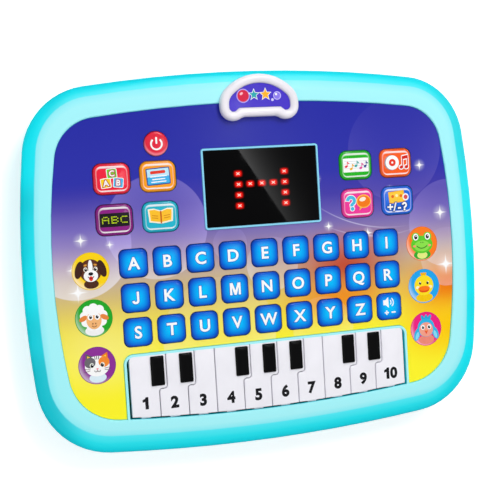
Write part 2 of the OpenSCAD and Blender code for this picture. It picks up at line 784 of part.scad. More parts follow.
module piano_rod() {
    color("silver") translate([piano_x, rod_y, rod_z]) rotate([0, 90, 0])
        cylinder(d = rod_d, h = piano_w - 0.4, center = true);
}

// A key that rises through the deck: crowned pad, skirt and the flange that holds it in
crown_r = 60;
module pad_body(proud) {
    top = film_top + proud;
    intersection() {
        slab(deck_bot - flange_t, top) children(0);
        translate([0, 0, top - crown_r]) sphere(crown_r, $fn = 96);
    }
    slab(deck_bot - flange_t, deck_bot) children(1);
}

module letter_key(i) {
    color("royalblue") translate([key_x(i), key_y(i), 0]) pad_body(key_proud) {
        key_shape();
        key_shape(flange_w);
    }
}

FUNC_COLORS = ["crimson", "orange", "purple", "deepskyblue", "limegreen", "orangered", "hotpink", "blue"];
module function_button(i) {
    color(FUNC_COLORS[i]) translate([func_x(i), func_y(i), 0]) pad_body(func_proud) {
        func_shape();
        func_shape(flange_w);
    }
}

module power_button() {
    color("red") translate([power_x, power_y, 0]) pad_body(power_proud) {
        power_shape();
        power_shape(flange_w);
    }
}

// Piano keys: the tail of a key with a black key reaches over its right neighbour
function piano_mid(i) = (piano_edge(i) + piano_edge(i + 1)) / 2;
function tail_left(i) = piano_edge(i) + (i > 0 && has_black[i - 1] ? piano_shift : 0);
function tail_right(i) = piano_edge(i + 1) + (has_black[i] ? piano_shift : 0);

// The step between two keys is rounded: by the tail, and by the neighbour's wide front
step_r = 1.1;
STEP_N = 3;
function step_tail(i, r) =
    arc_pts([tail_right(i) - piano_clear / 2 - step_r, piano_step_y + piano_clear / 2 + step_r],
            r, 0, -90, STEP_N);
function step_front(i, r) =
    arc_pts([piano_edge(i + 1) + piano_clear / 2 + step_r, piano_step_y - piano_clear / 2 - step_r],
            r, 90, 180, STEP_N);
function step_right(i) =
    has_black[i] ? concat(step_tail(i, step_r), step_front(i, step_r + piano_clear)) : [];
function step_left(i) =
    i > 0 && has_black[i - 1]
        ? concat(step_tail(i - 1, step_r + piano_clear), step_front(i - 1, step_r)) : [];
function reversed(v) = [for (i = [len(v) - 1:-1:0]) v[i]];
module piano_outline(i) {
    g = piano_clear / 2;
    far = film_bottom_y - piano_bay_len;
    intersection() {
        polygon(concat([[tail_left(i) + g, piano_tail_y], [tail_right(i) - g, piano_tail_y]],
                       step_right(i),
                       [[piano_edge(i + 1) - g, far], [piano_edge(i) + g, far]],
                       reversed(step_left(i))));
        polygon(outline(FILM, piano_wall_gap));
        bay_shape(-piano_wall_gap);
    }
}

module piano_key(i) {
    mid = piano_mid(i);
    pivot = (tail_left(i) + tail_right(i)) / 2;
    front = -sqrt(pow(bottom_bow_r, 2) - pow(mid, 2)) + bottom_bow_r + film_bottom_y;
    color("white") {
        slab(piano_plate_z, piano_top_z) piano_outline(i);
        if (has_black[i])
            translate([tail_right(i) - black_right - black_w / 2,
                       piano_tail_y - black_margin - black_len / 2, 0])
            slab(piano_top_z - overlap, piano_top_z + black_h) rounded(black_w, black_len, 0.6);
        translate([pivot - barrel_w / 2, rod_y - barrel_r, rod_z]) difference() {
            cube([barrel_w, barrel_r, piano_plate_z - rod_z + overlap]);
            translate([-overlap, barrel_r, 0]) rotate([0, 90, 0])
                cylinder(r = rod_d / 2 + rod_clear, h = barrel_w + 2 * overlap);
        }
        translate([pivot, rod_y, rod_z]) rotate([0, 90, 0]) difference() {
            cylinder(r = barrel_r, h = barrel_w, center = true);
            cylinder(r = rod_d / 2 + rod_clear, h = 2 * barrel_w, center = true);
        }
        translate([mid - tab_w / 2, front + piano_wall_gap, tab_z])
            cube([tab_w, tab_root, piano_plate_z - tab_z + overlap]);
        translate([mid - tab_w / 2, front - tab_reach, tab_z])
            cube([tab_w, tab_reach + tab_root, tab_t]);
        translate([mid, plunger_y, plunger_z])
            cylinder(d = plunger_d, h = piano_plate_z - plunger_z + overlap);
    }
}

front_housing();
rear_housing();
face_film();
screen_window();
badge_rim();
badge_plate();
main_board();
led_matrix();
battery_door();
batteries();
battery_contacts();
speaker();
screws();
piano_rod();
power_button();
for (i = [0:len(KEY_NODES) - 1])
    letter_key(i);
for (i = [0:len(FUNC_NODES) - 1])
    function_button(i);
for (i = [0:len(PIANO_NODES) - 1])
    piano_key(i);
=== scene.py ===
"""Looks of the toy learning computer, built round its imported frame.

Shapes are drawn in millimetres and turned into metres when a piece is made.
"""
import math

import bmesh
import bpy
from mathutils import Matrix, Vector


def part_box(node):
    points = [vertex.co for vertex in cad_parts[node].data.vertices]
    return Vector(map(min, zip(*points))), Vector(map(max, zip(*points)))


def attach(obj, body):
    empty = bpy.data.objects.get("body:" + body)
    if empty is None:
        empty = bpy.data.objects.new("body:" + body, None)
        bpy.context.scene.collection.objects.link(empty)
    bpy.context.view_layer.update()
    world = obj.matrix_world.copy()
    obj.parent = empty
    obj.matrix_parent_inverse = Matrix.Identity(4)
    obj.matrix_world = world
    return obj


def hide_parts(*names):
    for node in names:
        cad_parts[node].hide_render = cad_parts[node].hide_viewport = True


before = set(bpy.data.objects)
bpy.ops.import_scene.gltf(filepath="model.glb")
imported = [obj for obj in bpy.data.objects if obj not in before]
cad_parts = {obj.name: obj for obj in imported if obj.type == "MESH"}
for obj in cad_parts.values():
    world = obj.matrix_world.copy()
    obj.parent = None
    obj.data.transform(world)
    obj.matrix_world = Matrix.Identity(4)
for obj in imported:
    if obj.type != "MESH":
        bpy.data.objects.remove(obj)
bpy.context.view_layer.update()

MM = 0.001                 # one millimetre, in metres
FLANGE = 0.8               # flange round the foot of every key: its width and its thickness
CROWN_R = 60.0             # radius of the domed top of a key
KEY_CORNER = 3.0           # corner radius of a letter key
FUNC_CORNER = 4.0          # corner radius of a function button
KEY_BEVEL = 0.75           # rolled rim of a letter key, a function button and the power button
FUNC_BEVEL = 0.8
POWER_BEVEL = 0.9
INK = 0.012                # step from one printed layer to the next
INK_ROOT = 0.04            # how far a printed shape reaches into what it is printed on
DRAPE_STEP = 1.5           # grid on which a print is bent over a domed key
SHARP = math.radians(35)   # bend from which an edge of a made piece is shaded sharp
SIGN_EDGE = 0.38           # width of the edge round a printed sign
CAP_STEPS = 5              # rings on the rolled rim of a key, and on its top
SMALLEST_R = 0.3           # corner radius left where a key's plan is set in


def rgb(code):
    """Linear colour of an sRGB hex code."""
    parts = [int(code[i:i + 2], 16) / 255 for i in (0, 2, 4)]
    linear = [p / 12.92 if p <= 0.04045 else ((p + 0.055) / 1.055) ** 2.4 for p in parts]
    return (*linear, 1.0)


def shade(color, share):
    """A linear colour made darker, or lighter where share is over 1."""
    return (*[min(c * share, 1.0) for c in color[:3]], 1.0)


def toward(color, other, share):
    """A linear colour moved by share towards another."""
    return tuple(a + (b - a) * share for a, b in zip(color, other))


WHITE = rgb("FFFFFF")


def box_mm(node):
    """Lowest and highest corner of a CAD node, in millimetres."""
    low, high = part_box(node)
    return low / MM, high / MM


# ---- materials

class Nodes:
    """A node tree under construction."""

    def __init__(self, owner):
        owner.use_nodes = True
        self.tree = owner.node_tree

    def node(self, kind, *values, **settings):
        """A node. Values feed its inputs in order, capitalised settings feed them by name."""
        made = self.tree.nodes.new("ShaderNode" + kind)
        for key, value in settings.items():
            if not key[0].isupper():
                setattr(made, key, value)
        for socket, value in zip(made.inputs, values):
            self.feed(socket, value)
        for key, value in settings.items():
            if key[0].isupper():
                self.feed(made.inputs[key.replace("_", " ")], value)
        return made

    def feed(self, socket, value):
        if isinstance(value, bpy.types.NodeSocket):
            self.tree.links.new(value, socket)
        else:
            socket.default_value = value

    def math(self, operation, *values):
        return self.node("Math", *values, operation=operation).outputs[0]

    def times(self, *values):
        return self.math("MULTIPLY", *values)

    def abs(self, value):
        return self.math("ABSOLUTE", value)

    def smooth(self, value, start, end):
        """0 at start to 1 at end, eased."""
        return self.node("MapRange", value, start, end, 0.0, 1.0,
                         interpolation_type="SMOOTHSTEP").outputs[0]

    def seen_level(self, unseen, seen):
        """One level for rays that show a surface, another for those that light it."""
        rays = self.node("LightPath").outputs
        shown = self.math("MAXIMUM", rays["Is Camera Ray"], rays["Is Glossy Ray"])
        shown = self.math("MAXIMUM", shown, rays["Is Transmission Ray"])
        return self.node("MapRange", shown, To_Min=unseen, To_Max=seen).outputs[0]


class Shader(Nodes):
    """A Principled material under construction, with its place in millimetres."""

    def __init__(self, name, roughness=0.3, specular=0.25, metallic=0.0):
        self.material = bpy.data.materials.new(name)
        super().__init__(self.material)
        self.bsdf = self.tree.nodes["Principled BSDF"]
        self.give("Roughness", roughness)
        self.give("Specular IOR Level", specular)
        self.give("Metallic", metallic)
        coords = self.node("TexCoord").outputs["Object"]
        scaled = self.node("VectorMath", operation="SCALE", Vector=coords, Scale=1 / MM)
        self.place = scaled.outputs[0]
        self.x, self.y, self.z = self.node("SeparateXYZ", self.place).outputs
        self.flat = self.node("CombineXYZ", self.x, self.y).outputs[0]

    def give(self, socket, value):
        self.feed(self.bsdf.inputs[socket], value)

    def paint(self, color):
        self.give("Base Color", color)

    def mix(self, factor, a, b):
        made = self.node("Mix", data_type="RGBA")
        for socket, value in zip((made.inputs[0], made.inputs[6], made.inputs[7]), (factor, a, b)):
            self.feed(socket, value)
        return made.outputs[2]

    def ramp(self, factor, stops):
        made = self.node("ValToRGB", factor)
        elements = made.color_ramp.elements
        while len(elements) < len(stops):
            elements.new(0.5)
        for element, (position, code) in zip(elements, stops):
            element.position = position
            element.color = rgb(code)
        return made.outputs[0]

    def noise(self, size, detail=2.0):
        """Noise with lumps of about that size."""
        return self.node("TexNoise", Vector=self.place, Scale=1 / size, Detail=detail).outputs[0]

    def reach(self, x, y, rx, ry):
        """Distance from a point on the face, in radii of an ellipse."""
        away = self.node("VectorMath", self.flat, (x, y, 0), operation="SUBTRACT").outputs[0]
        scaled = self.node("VectorMath", away, (1 / rx, 1 / ry, 0), operation="MULTIPLY").outputs[0]
        return self.node("VectorMath", scaled, operation="LENGTH").outputs["Value"]

    def blob(self, x, y, rx, ry):
        """1 in the middle of an ellipse to 0 at its edge, eased."""
        return self.smooth(self.reach(x, y, rx, ry), 1.0, 0.0)

    def relief(self, height, strength, depth=0.02):
        bump = self.node("Bump", Strength=strength, Distance=depth * MM, Height=height)
        self.give("Normal", bump.outputs[0])

    def finish(self, low, high, size=9.0, grain=0.0):
        """The material, with roughness that wanders between two values and a fine grain."""
        wander = self.node("MapRange", self.noise(size, 3.0), 0.3, 0.7, low, high).outputs[0]
        self.give("Roughness", wander)
        if grain:
            self.relief(self.noise(0.5, 3.0), grain)
        return self.material


def plastic(name, color, roughness=0.22, specular=0.3, grain=0.15):
    """Moulded plastic: a cloudy tint, wandering gloss and a fine skin."""
    s = Shader(name, roughness, specular)
    s.paint(s.mix(s.noise(14.0, 3.0), shade(color, 0.93), shade(color, 1.05)))
    return s.finish(roughness * 0.8, roughness * 1.25, grain=grain)


inks = {}                  # materials of the inks made so far, by colour


def ink(code):
    """Printing ink of one colour: the same material wherever it is used."""
    if code not in inks:
        s = Shader("ink_" + code, 0.3, 0.15)
        color = rgb(code)
        s.paint(s.mix(s.noise(1.6, 3.0), shade(color, 0.94), shade(color, 1.03)))
        inks[code] = s.finish(0.24, 0.36, 3.0)
    return inks[code]


SCREEN_FRAME = 1.3         # width of the pale frame round the screen window


def bezel_plastic():
    """Front housing: pale inner band, a crease, and an outer rolled edge with painted shade that deepens
    as it falls away, plus painted sheen and a painted highlight on it.
    """
    s = Shader("bezel_plastic", 0.18, 0.08)
    low, high = box_mm("screen_window")
    # Painted light by height: pale as if lit on the inner band, deepening into painted shade down the
    # outer rolled edge.
    tone = s.ramp(s.node("MapRange", s.z, 12.5, 23.5, 0.0, 1.0).outputs[0],
                  [(0.0, "048C9E"), (0.35, "04A8BA"), (0.62, "02BACC"), (0.74, "02C8DA"),
                   (0.82, "06D8E8"), (0.88, "24E4F0"), (0.923, "52ECF7"), (0.9275, "8CF0F9"),
                   (0.97, "A6F6FC")])
    outer = s.smooth(s.z, 22.74, 22.64)
    # Painted sheen: cloudy streaks of reflection on the outer rolled edge at the left and right flanks.
    sheen_flank = s.times(s.smooth(s.abs(s.x), 92.0, 114.0), outer)
    roll_sheen = s.mix(s.smooth(s.noise(40.0, 1.0), 0.3, 0.7), rgb("00C0D0"), rgb("02E8F6"))
    # Painted highlight on the upper right of the outer rolled edge.
    right_highlight = s.times(s.smooth(s.x, 80.0, 112.0), s.smooth(s.y, -20.0, 10.0))
    roll_sheen = s.mix(s.times(right_highlight, 0.5), roll_sheen, rgb("46F2FA"))
    tone = s.mix(s.times(sheen_flank, 0.85), tone, roll_sheen)
    cloud = s.times(s.math("SUBTRACT", 1.1, outer), s.times(s.noise(30.0, 2.0), 0.1))
    tone = s.mix(cloud, tone, rgb("C0FAFE"))
    sides = []
    for axis, value in ((0, s.x), (1, s.y)):
        away = s.abs(s.math("SUBTRACT", value, (low[axis] + high[axis]) / 2))
        edge = (high[axis] - low[axis]) / 2 + SCREEN_FRAME
        sides.append(s.smooth(away, edge + 0.3, edge))
    frame_share = s.times(*sides)
    s.paint(s.mix(frame_share, tone, rgb("8CD8F4")))
    s.relief(s.noise(0.6, 3.0), 0.12)
    return s.finish(0.14, 0.24)


def rear_plastic():
    """Rear housing: satin, with a fine spark texture."""
    s = Shader("rear_plastic", 0.42, 0.3)
    s.paint(s.mix(s.noise(16.0, 3.0), rgb("14C2CF"), rgb("25D8E4")))
    s.relief(s.node("TexVoronoi", Vector=s.place, Scale=1.6).outputs[0], 0.3, 0.03)
    return s.finish(0.36, 0.5)


# Film print. Bubbles: x, y, radius, strength, share of it left at the top. Sparkles: x, y, size.
# Swirls: x, y, radius, x they fade to. Glows: x, y, radii, colour, strength.
BUBBLES = [(-55, 19, 26, 0.42, 0.6), (-95, 13, 27, 0.6, 0.0), (4, -4, 14, 0.34, 0.5),
           (-26, -38, 30, 0.24, 0.3), (76, 51, 27, 0.08, 0.2), (106, 10, 24, 0.3, 0.5),
           (104, -8, 16, 0.22, 0.4), (-18, 8, 9, 0.18, 0.5), (30, -40, 17, 0.14, 0.5)]
SPARKLES = [(-93, 15, 3.4), (-79, 12, 2.2), (-96, -10, 5), (90, 42, 3), (101, 16, 4), (36, 13, 2.6),
            (58, 8, 3), (103, -12, 5.6), (30, 38, 3), (72, 30, 2.4), (-98, 1, 3)]
SWIRLS = [(66, 78, 72, 30), (74, 86, 76, 24)]
GLOWS = [(44, -8, 46, 24, "C04428", 0.95), (40, -25, 46, 16, "F08A14", 0.9),
         (104, -24, 40, 26, "F07C0C", 1.0), (102, -46, 42, 24, "FFC800", 0.9),
         (-84, -40, 40, 26, "FAF6A0", 0.45)]


def film_print():
    """Sky to sand, with a warm glow, soft bubbles, swirls and sparkles."""
    s = Shader("film_print", 0.2, 0.08)
    low, high = box_mm("face_film")
    rise = s.node("MapRange", s.y, low.y, high.y, 0.0, 1.0).outputs[0]
    color = s.ramp(rise, [(0.0, "FFF62C"), (0.2, "FEF030"), (0.29, "F4E246"), (0.345, "E6CF60"),
                          (0.4, "D4BC7C"), (0.452, "C4AE98"), (0.51, "A88FA8"), (0.567, "8475B0"),
                          (0.618, "6558B0"), (0.682, "443CA6"), (0.765, "2E32A8"), (1.0, "262BA2")])
    for x, y, rx, ry, code, strength in GLOWS:
        color = s.mix(s.times(s.blob(x, y, rx, ry), strength), color, rgb(code))
    pale = s.mix(s.smooth(s.y, -6.0, 16.0), rgb("F2EEF6"), rgb("BCAAF4"))
    for x, y, r, strength, top in BUBBLES:
        away = s.reach(x, y, r, r)
        inside = s.smooth(away, 1.0, 0.98)
        rim = s.math("MULTIPLY_ADD", s.math("POWER", away, 2.0), 0.6, 0.4)
        lower = s.math("MULTIPLY_ADD", s.smooth(s.y, y + r, y - r * 0.4), 1.0 - top, top)
        share = s.times(s.times(inside, rim), s.times(lower, strength))
        color = s.mix(share, color, pale)
    for x, y, r, fade in SWIRLS:
        line = s.abs(s.math("SUBTRACT", s.reach(x, y, 1, 1), r))
        share = s.times(s.smooth(line, 0.5, 0.05), s.smooth(s.x, fade, fade + 26))
        share = s.times(share, s.smooth(s.x, fade + 60, fade + 30))
        color = s.mix(s.times(share, 0.45), color, rgb("E8E4FF"))
    for x, y, size in SPARKLES:
        core, across, upright, halo = [s.blob(x, y, size * rx, size * ry) for rx, ry in
                                       ((0.45, 0.45), (1.2, 0.13), (0.13, 1.2), (1.3, 1.3))]
        rays = s.math("ADD", core, s.times(halo, 0.35))
        rays = s.math("ADD", s.math("MAXIMUM", across, upright), rays)
        color = s.mix(s.math("MINIMUM", rays, 1.0), color, WHITE)
    s.paint(color)
    s.relief(s.noise(0.4), 0.05)
    return s.finish(0.16, 0.24, 20.0)


def screen_plastic():
    """Smoked window, with faint dust and wipe marks in its gloss."""
    s = Shader("screen_plastic", 0.05, 0.03)
    s.paint(s.mix(s.noise(20.0), rgb("020203"), rgb("060607")))
    return s.finish(0.01, 0.035, 6.0)


def key_plastic():
    """Letter key: royal blue, with a painted highlight in the middle and painted shade darkening its rim.
    """
    s = Shader("key_plastic", 0.16, 0.1)
    # Painted light: pale cyan in the middle like a lit dome, deepening to painted shade at the rounded
    # rim.
    powers = [s.math("POWER", s.abs(axis), 3.0) for axis in (s.x, s.y)]
    away = s.math("POWER", s.math("ADD", *powers), 1 / 3)
    share = s.math("DIVIDE", away, 8.0)
    s.paint(s.ramp(share, [(0.0, "00CCFF"), (0.3, "00BAFC"), (0.52, "009EF2"), (0.68, "007CE2"),
                           (0.8, "005AD0"), (0.88, "0444B4"), (1.0, "06348C")]))
    return s.finish(0.14, 0.22, 4.0, grain=0.08)


def lamp_light():
    """Lit lamps seen through the window: a red glow that falls off to black, with a pale cross at its
    core that is a painted glint.
    """
    s = Shader("lamp_light", 0.02, 0.03)
    x = s.math("WRAP", s.x, LAMP_PITCH_X / 2, -LAMP_PITCH_X / 2)
    y = s.math("WRAP", s.y, LAMP_PITCH_Y / 2, -LAMP_PITCH_Y / 2)
    x = s.times(s.abs(x), 0.86)
    y = s.times(s.abs(y), 1.14)
    away = s.math("SQRT", s.math("ADD", s.math("POWER", x, 2.0), s.math("POWER", y, 2.0)))
    corner = s.math("MAXIMUM", x, y)
    away = s.math("ADD", s.times(away, 0.5), s.times(corner, 0.5))
    share = s.math("DIVIDE", away, LAMP_GLOW_R)
    glow = s.ramp(share, [(0.0, "FF6048"), (0.3, "FF3020"), (0.42, "F81808"), (0.56, "D00A04"),
                          (0.72, "5A0201"), (0.9, "000000")])
    # Painted glint: a pale cross over the middle of each glow.
    cross = s.smooth(s.abs(s.math("SUBTRACT", x, y)), 0.45, 0.1)
    glow = s.mix(s.times(cross, s.smooth(share, 0.42, 0.2)), glow, rgb("FFE8DC"))
    s.paint(rgb("020202"))
    s.give("Emission Color", glow)
    s.give("Emission Strength", 1.0)
    return s.material


def metal(name, code, roughness):
    s = Shader(name, roughness, 0.5, 1.0)
    s.paint(s.mix(s.noise(3.0, 3.0), shade(rgb(code), 0.85), rgb(code)))
    s.relief(s.noise(0.3, 3.0), 0.2)
    return s.finish(roughness * 0.7, roughness * 1.4, 2.0)


# ---- shapes

def placed(points, x, y, turn):
    """Points turned about the origin and moved."""
    c, s = math.cos(math.radians(turn)), math.sin(math.radians(turn))
    return [(x + u * c - v * s, y + u * s + v * c) for u, v in points]


def arc(x, y, r, start, sweep, count=3):
    """Points of an arc, with both its ends."""
    angles = [math.radians(start + sweep * i / count) for i in range(count + 1)]
    return [(x + r * math.cos(t), y + r * math.sin(t)) for t in angles]


def ellipse(x, y, rx, ry=None, turn=0.0, count=40):
    """Points of an ellipse, or of a circle where one radius is given."""
    angles = [math.radians(360.0 * i / count) for i in range(count)]
    ry = rx if ry is None else ry
    return placed([(rx * math.cos(t), ry * math.sin(t)) for t in angles], x, y, turn)


def rounded(w, h, r, x=0.0, y=0.0, turn=0.0, steps=6):
    """Points of a rectangle with round corners."""
    points = []
    for corner, (sx, sy) in enumerate([(1, 1), (-1, 1), (-1, -1), (1, -1)]):
        points += arc(sx * (w / 2 - r), sy * (h / 2 - r), r, 90 * corner, 90, steps)
    return placed(points, x, y, turn)


def arc_band(x, y, r, width, start, sweep, count=16):
    """Points of a curved stroke."""
    outer, inner = [arc(x, y, r + side * width / 2, start, sweep, count) for side in (1, -1)]
    return outer + inner[::-1]


def star(x, y, r):
    """Points of a star with five tips, one of them upright."""
    points = []
    for i, reach in enumerate([r, r * 0.45] * 5):
        t = math.radians(90.0 + 36 * i)
        points.append((x + reach * math.cos(t), y + reach * math.sin(t)))
    return points


def curve_mesh(curve):
    """Mesh of a filled curve or a text, one unit thick."""
    holder = bpy.data.objects.new("outline", curve)
    mesh = bpy.data.meshes.new_from_object(holder)
    bpy.data.objects.remove(holder)
    return mesh


def flat(*outlines):
    """Closed slip of the area inside the first outline and outside the others."""
    curve = bpy.data.curves.new("outline", "CURVE")
    curve.dimensions = "2D"
    curve.fill_mode = "BOTH"
    curve.extrude = 0.5
    for points in outlines:
        spline = curve.splines.new("POLY")
        spline.points.add(len(points) - 1)
        for target, (x, y) in zip(spline.points, points):
            target.co = (x, y, 0, 1)
        spline.use_cyclic_u = True
    return curve_mesh(curve)


def text_mesh(text, size, weight):
    curve = bpy.data.curves.new("glyph", "FONT")
    curve.body = text
    curve.size = size
    curve.offset = weight
    curve.extrude = 0.5
    curve.resolution_u = 4
    return curve_mesh(curve)


def mesh_span(mesh, axis):
    values = [v.co[axis] for v in mesh.vertices]
    return min(values), max(values)


CAPITAL = mesh_span(text_mesh("H", 1.0, 0.0), 1)[1]


# Signs with an outline of their own, one unit high and anticlockwise. Hook and dot make a question mark.
HOOK = [arc(0, 0.665, r, -50, 215, 12) for r in (0.335, 0.165)]
BEND = [arc(-0.04, 0.28, r, 195, 165, 12) for r in (0.28, 0.15)]
OWN_SIGNS = {
    "M": [(-0.46, 0), (-0.33, 0), (-0.33, 0.72), (-0.07, 0), (0.07, 0), (0.33, 0.72), (0.33, 0),
          (0.46, 0), (0.46, 1), (0.26, 1), (0.0, 0.28), (-0.26, 1), (-0.46, 1)],
    "1": [(0.0, 0), (0.17, 0), (0.17, 1), (0.04, 1), (-0.04, 0.87), (-0.24, 0.79), (-0.24, 0.68),
          (0.0, 0.72)],
    "J": BEND[0] + [(0.24, 1), (0.11, 1)] + BEND[1][::-1],
    "hook": HOOK[0] + HOOK[1][::-1] + [(-0.085, 0.4), (-0.085, 0.3), (0.085, 0.3), (0.085, 0.36)],
    "dot": ellipse(0, 0.09, 0.1, count=16),
}


def grown(outline, width):
    """Outline moved outwards by width, with its corners kept sharp."""
    points = [Vector(p) for p in outline]
    made = []
    for before, here, after in zip(points[-1:] + points[:-1], points, points[1:] + points[:1]):
        into, away = (here - before).normalized(), (after - here).normalized()
        side = Vector((into.y + away.y, -into.x - away.x)).normalized()
        made.append(here + side * width / max(side.dot(Vector((into.y, -into.x))), 0.4))
    return made


def glyph(text, height, weight=0.0):
    """Closed slip of a character of that capital height, centred."""
    if text in OWN_SIGNS:
        return flat(grown([(x * height, (y - 0.5) * height) for x, y in OWN_SIGNS[text]], weight))
    mesh = text_mesh(text, height / CAPITAL, weight)
    left, right = mesh_span(mesh, 0)
    mesh.transform(Matrix.Translation((-(left + right) / 2, -height / 2, 0)))
    return mesh


def crown(x, y):
    """Drop of a domed key's top, away from its middle."""
    return math.sqrt(CROWN_R ** 2 - x * x - y * y) - CROWN_R


def add_object(name, data):
    made = bpy.data.objects.new(name, data)
    bpy.context.scene.collection.objects.link(made)
    return made


class Piece:
    """A mesh under construction, in millimetres from its origin."""

    def __init__(self, origin=(0, 0, 0)):
        self.bm = bmesh.new()
        self.origin = Vector(origin)
        self.materials = []

    def slot(self, material):
        if material not in self.materials:
            self.materials.append(material)
        return self.materials.index(material)

    def loft(self, rings, material, tube=False):
        """Skin over rings with as many points each: closed at both ends, or round into itself."""
        index = self.slot(material)
        rows = [[self.bm.verts.new(p) for p in ring] for ring in rings]
        count = len(rows[0])
        faces = [] if tube else [self.bm.faces.new(rows[0]), self.bm.faces.new(rows[-1])]
        for low, high in zip(rows, rows[1:] + rows[:1] if tube else rows[1:]):
            for i in range(count):
                j = (i + 1) % count
                faces.append(self.bm.faces.new((low[i], low[j], high[j], high[i])))
        for face in faces:
            face.material_index = index

    def prism(self, outline, z0, z1, material, bevel=0.0):
        """Straight block with its top and upright edges rounded."""
        part = bmesh.new()
        base = part.faces.new([part.verts.new((x, y, z0)) for x, y in outline])
        raised = bmesh.ops.extrude_face_region(part, geom=[base])["geom"]
        for vert in raised:
            if isinstance(vert, bmesh.types.BMVert):
                vert.co.z = z1
        if bevel:
            edges = [e for e in part.edges if max(v.co.z for v in e.verts) > (z0 + z1) / 2
                     and e.calc_face_angle(0.0) > math.radians(20)]
            bmesh.ops.bevel(part, geom=edges, offset=bevel, segments=3, affect="EDGES", profile=0.5)
        self.join(part, material)

    def join(self, part, material):
        index = self.slot(material)
        for face in part.faces:
            face.material_index = index
        mesh = bpy.data.meshes.new("part")
        part.to_mesh(mesh)
        part.free()
        self.bm.from_mesh(mesh)
        bpy.data.meshes.remove(mesh)

    def stamp(self, mesh, material, layer=0, x=0.0, y=0.0, z=0.0, turn=0.0, surface=None):
        """Prints a slip at a layer over the surface, bent to it where the surface is domed."""
        part = bmesh.new()
        part.from_mesh(mesh)
        bpy.data.meshes.remove(mesh)
        bmesh.ops.remove_doubles(part, verts=part.verts, dist=1e-4)
        place = Matrix.Translation((x, y, 0)) @ Matrix.Rotation(math.radians(turn), 4, "Z")
        bmesh.ops.transform(part, matrix=place, verts=part.verts)
        if surface:
            for axis in (0, 1):
                steps = [v.co[axis] / DRAPE_STEP for v in part.verts]
                for k in range(math.ceil(min(steps)), math.ceil(max(steps))):
                    point, normal = Vector((0, 0, 0)), Vector((0, 0, 0))
                    point[axis], normal[axis] = k * DRAPE_STEP, 1
                    everything = part.verts[:] + part.edges[:] + part.faces[:]
                    bmesh.ops.bisect_plane(part, geom=everything, plane_co=point, plane_no=normal)
        for vert in part.verts:
            rise = INK * (layer + 1) if vert.co.z > 0 else -INK_ROOT
            vert.co.z = z + rise + (surface(vert.co.x, vert.co.y) if surface else 0.0)
        self.join(part, material)

    def finish(self, name, body, slot, nodes=()):
        """Makes the object and lets it ride on its body."""
        bmesh.ops.recalc_face_normals(self.bm, faces=self.bm.faces)
        mesh = bpy.data.meshes.new(name)
        self.bm.to_mesh(mesh)
        self.bm.free()
        mesh.transform(Matrix.Scale(MM, 4))
        for material in self.materials:
            mesh.materials.append(material)
        mesh.polygons.foreach_set("use_smooth", [True] * len(mesh.polygons))
        mesh.set_sharp_from_angle(angle=SHARP)
        made = add_object(name, mesh)
        made.location = self.origin * MM
        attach(made, body)
        if nodes:
            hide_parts(*nodes)

    def stand_in(self, node, slot):
        """Makes the object in place of a CAD node, on that node's body."""
        self.finish(node + "_cap", node + "_body", slot, [node])


class Art:
    """A picture on a piece: every shape is printed one layer above the one before it."""

    def __init__(self, piece, layer=0, surface=None):
        self.piece = piece
        self.layer = layer
        self.surface = surface

    def stamp(self, mesh, code, x=0.0, y=0.0, turn=0.0):
        self.piece.stamp(mesh, ink(code), self.layer, x, y, turn=turn, surface=self.surface)
        self.layer += 1

    def area(self, code, *outlines):
        """The area inside the first outline and outside the others."""
        self.stamp(flat(*outlines), code)

    def oval(self, code, *values, **more):
        self.area(code, ellipse(*values, **more))

    def box(self, code, *values, **more):
        self.area(code, rounded(*values, **more))

    def sign(self, text, height, x, y, code, edge, turn=0.0, weight=0.12):
        """A character over a bolder one in the colour of its edge."""
        for width, color in ((weight + SIGN_EDGE, edge), (weight, code)):
            for part in ("hook", "dot") if text == "?" else (text,):
                self.stamp(glyph(part, height, width), color, x, y, turn)


def cap(node, outline, reach, bevel, material):
    """Domed key in place of a CAD key. outline(inset) is its plan, reach half its shorter side."""
    low, high = box_mm(node)
    piece = Piece(((low.x + high.x) / 2, (low.y + high.y) / 2, high.z))
    foot = low.z - high.z
    rings = [[(x, y, z) for x, y in outline(inset)]
             for inset, z in ((-FLANGE, foot), (-FLANGE, foot + FLANGE), (0.0, foot + FLANGE))]
    profile = []
    for i in range(CAP_STEPS + 1):
        t = math.radians(90 * i / CAP_STEPS)
        profile.append((bevel * (1 - math.cos(t)), bevel * (1 - math.sin(t))))
    for i in range(1, CAP_STEPS + 1):
        profile.append((bevel + (reach * 0.9 - bevel) * i / CAP_STEPS, 0.0))
    for inset, drop in profile:
        rings.append([(x, y, crown(x, y) - drop) for x, y in outline(inset)])
    piece.loft(rings, material)
    return piece


# ---- CAD nodes that stay

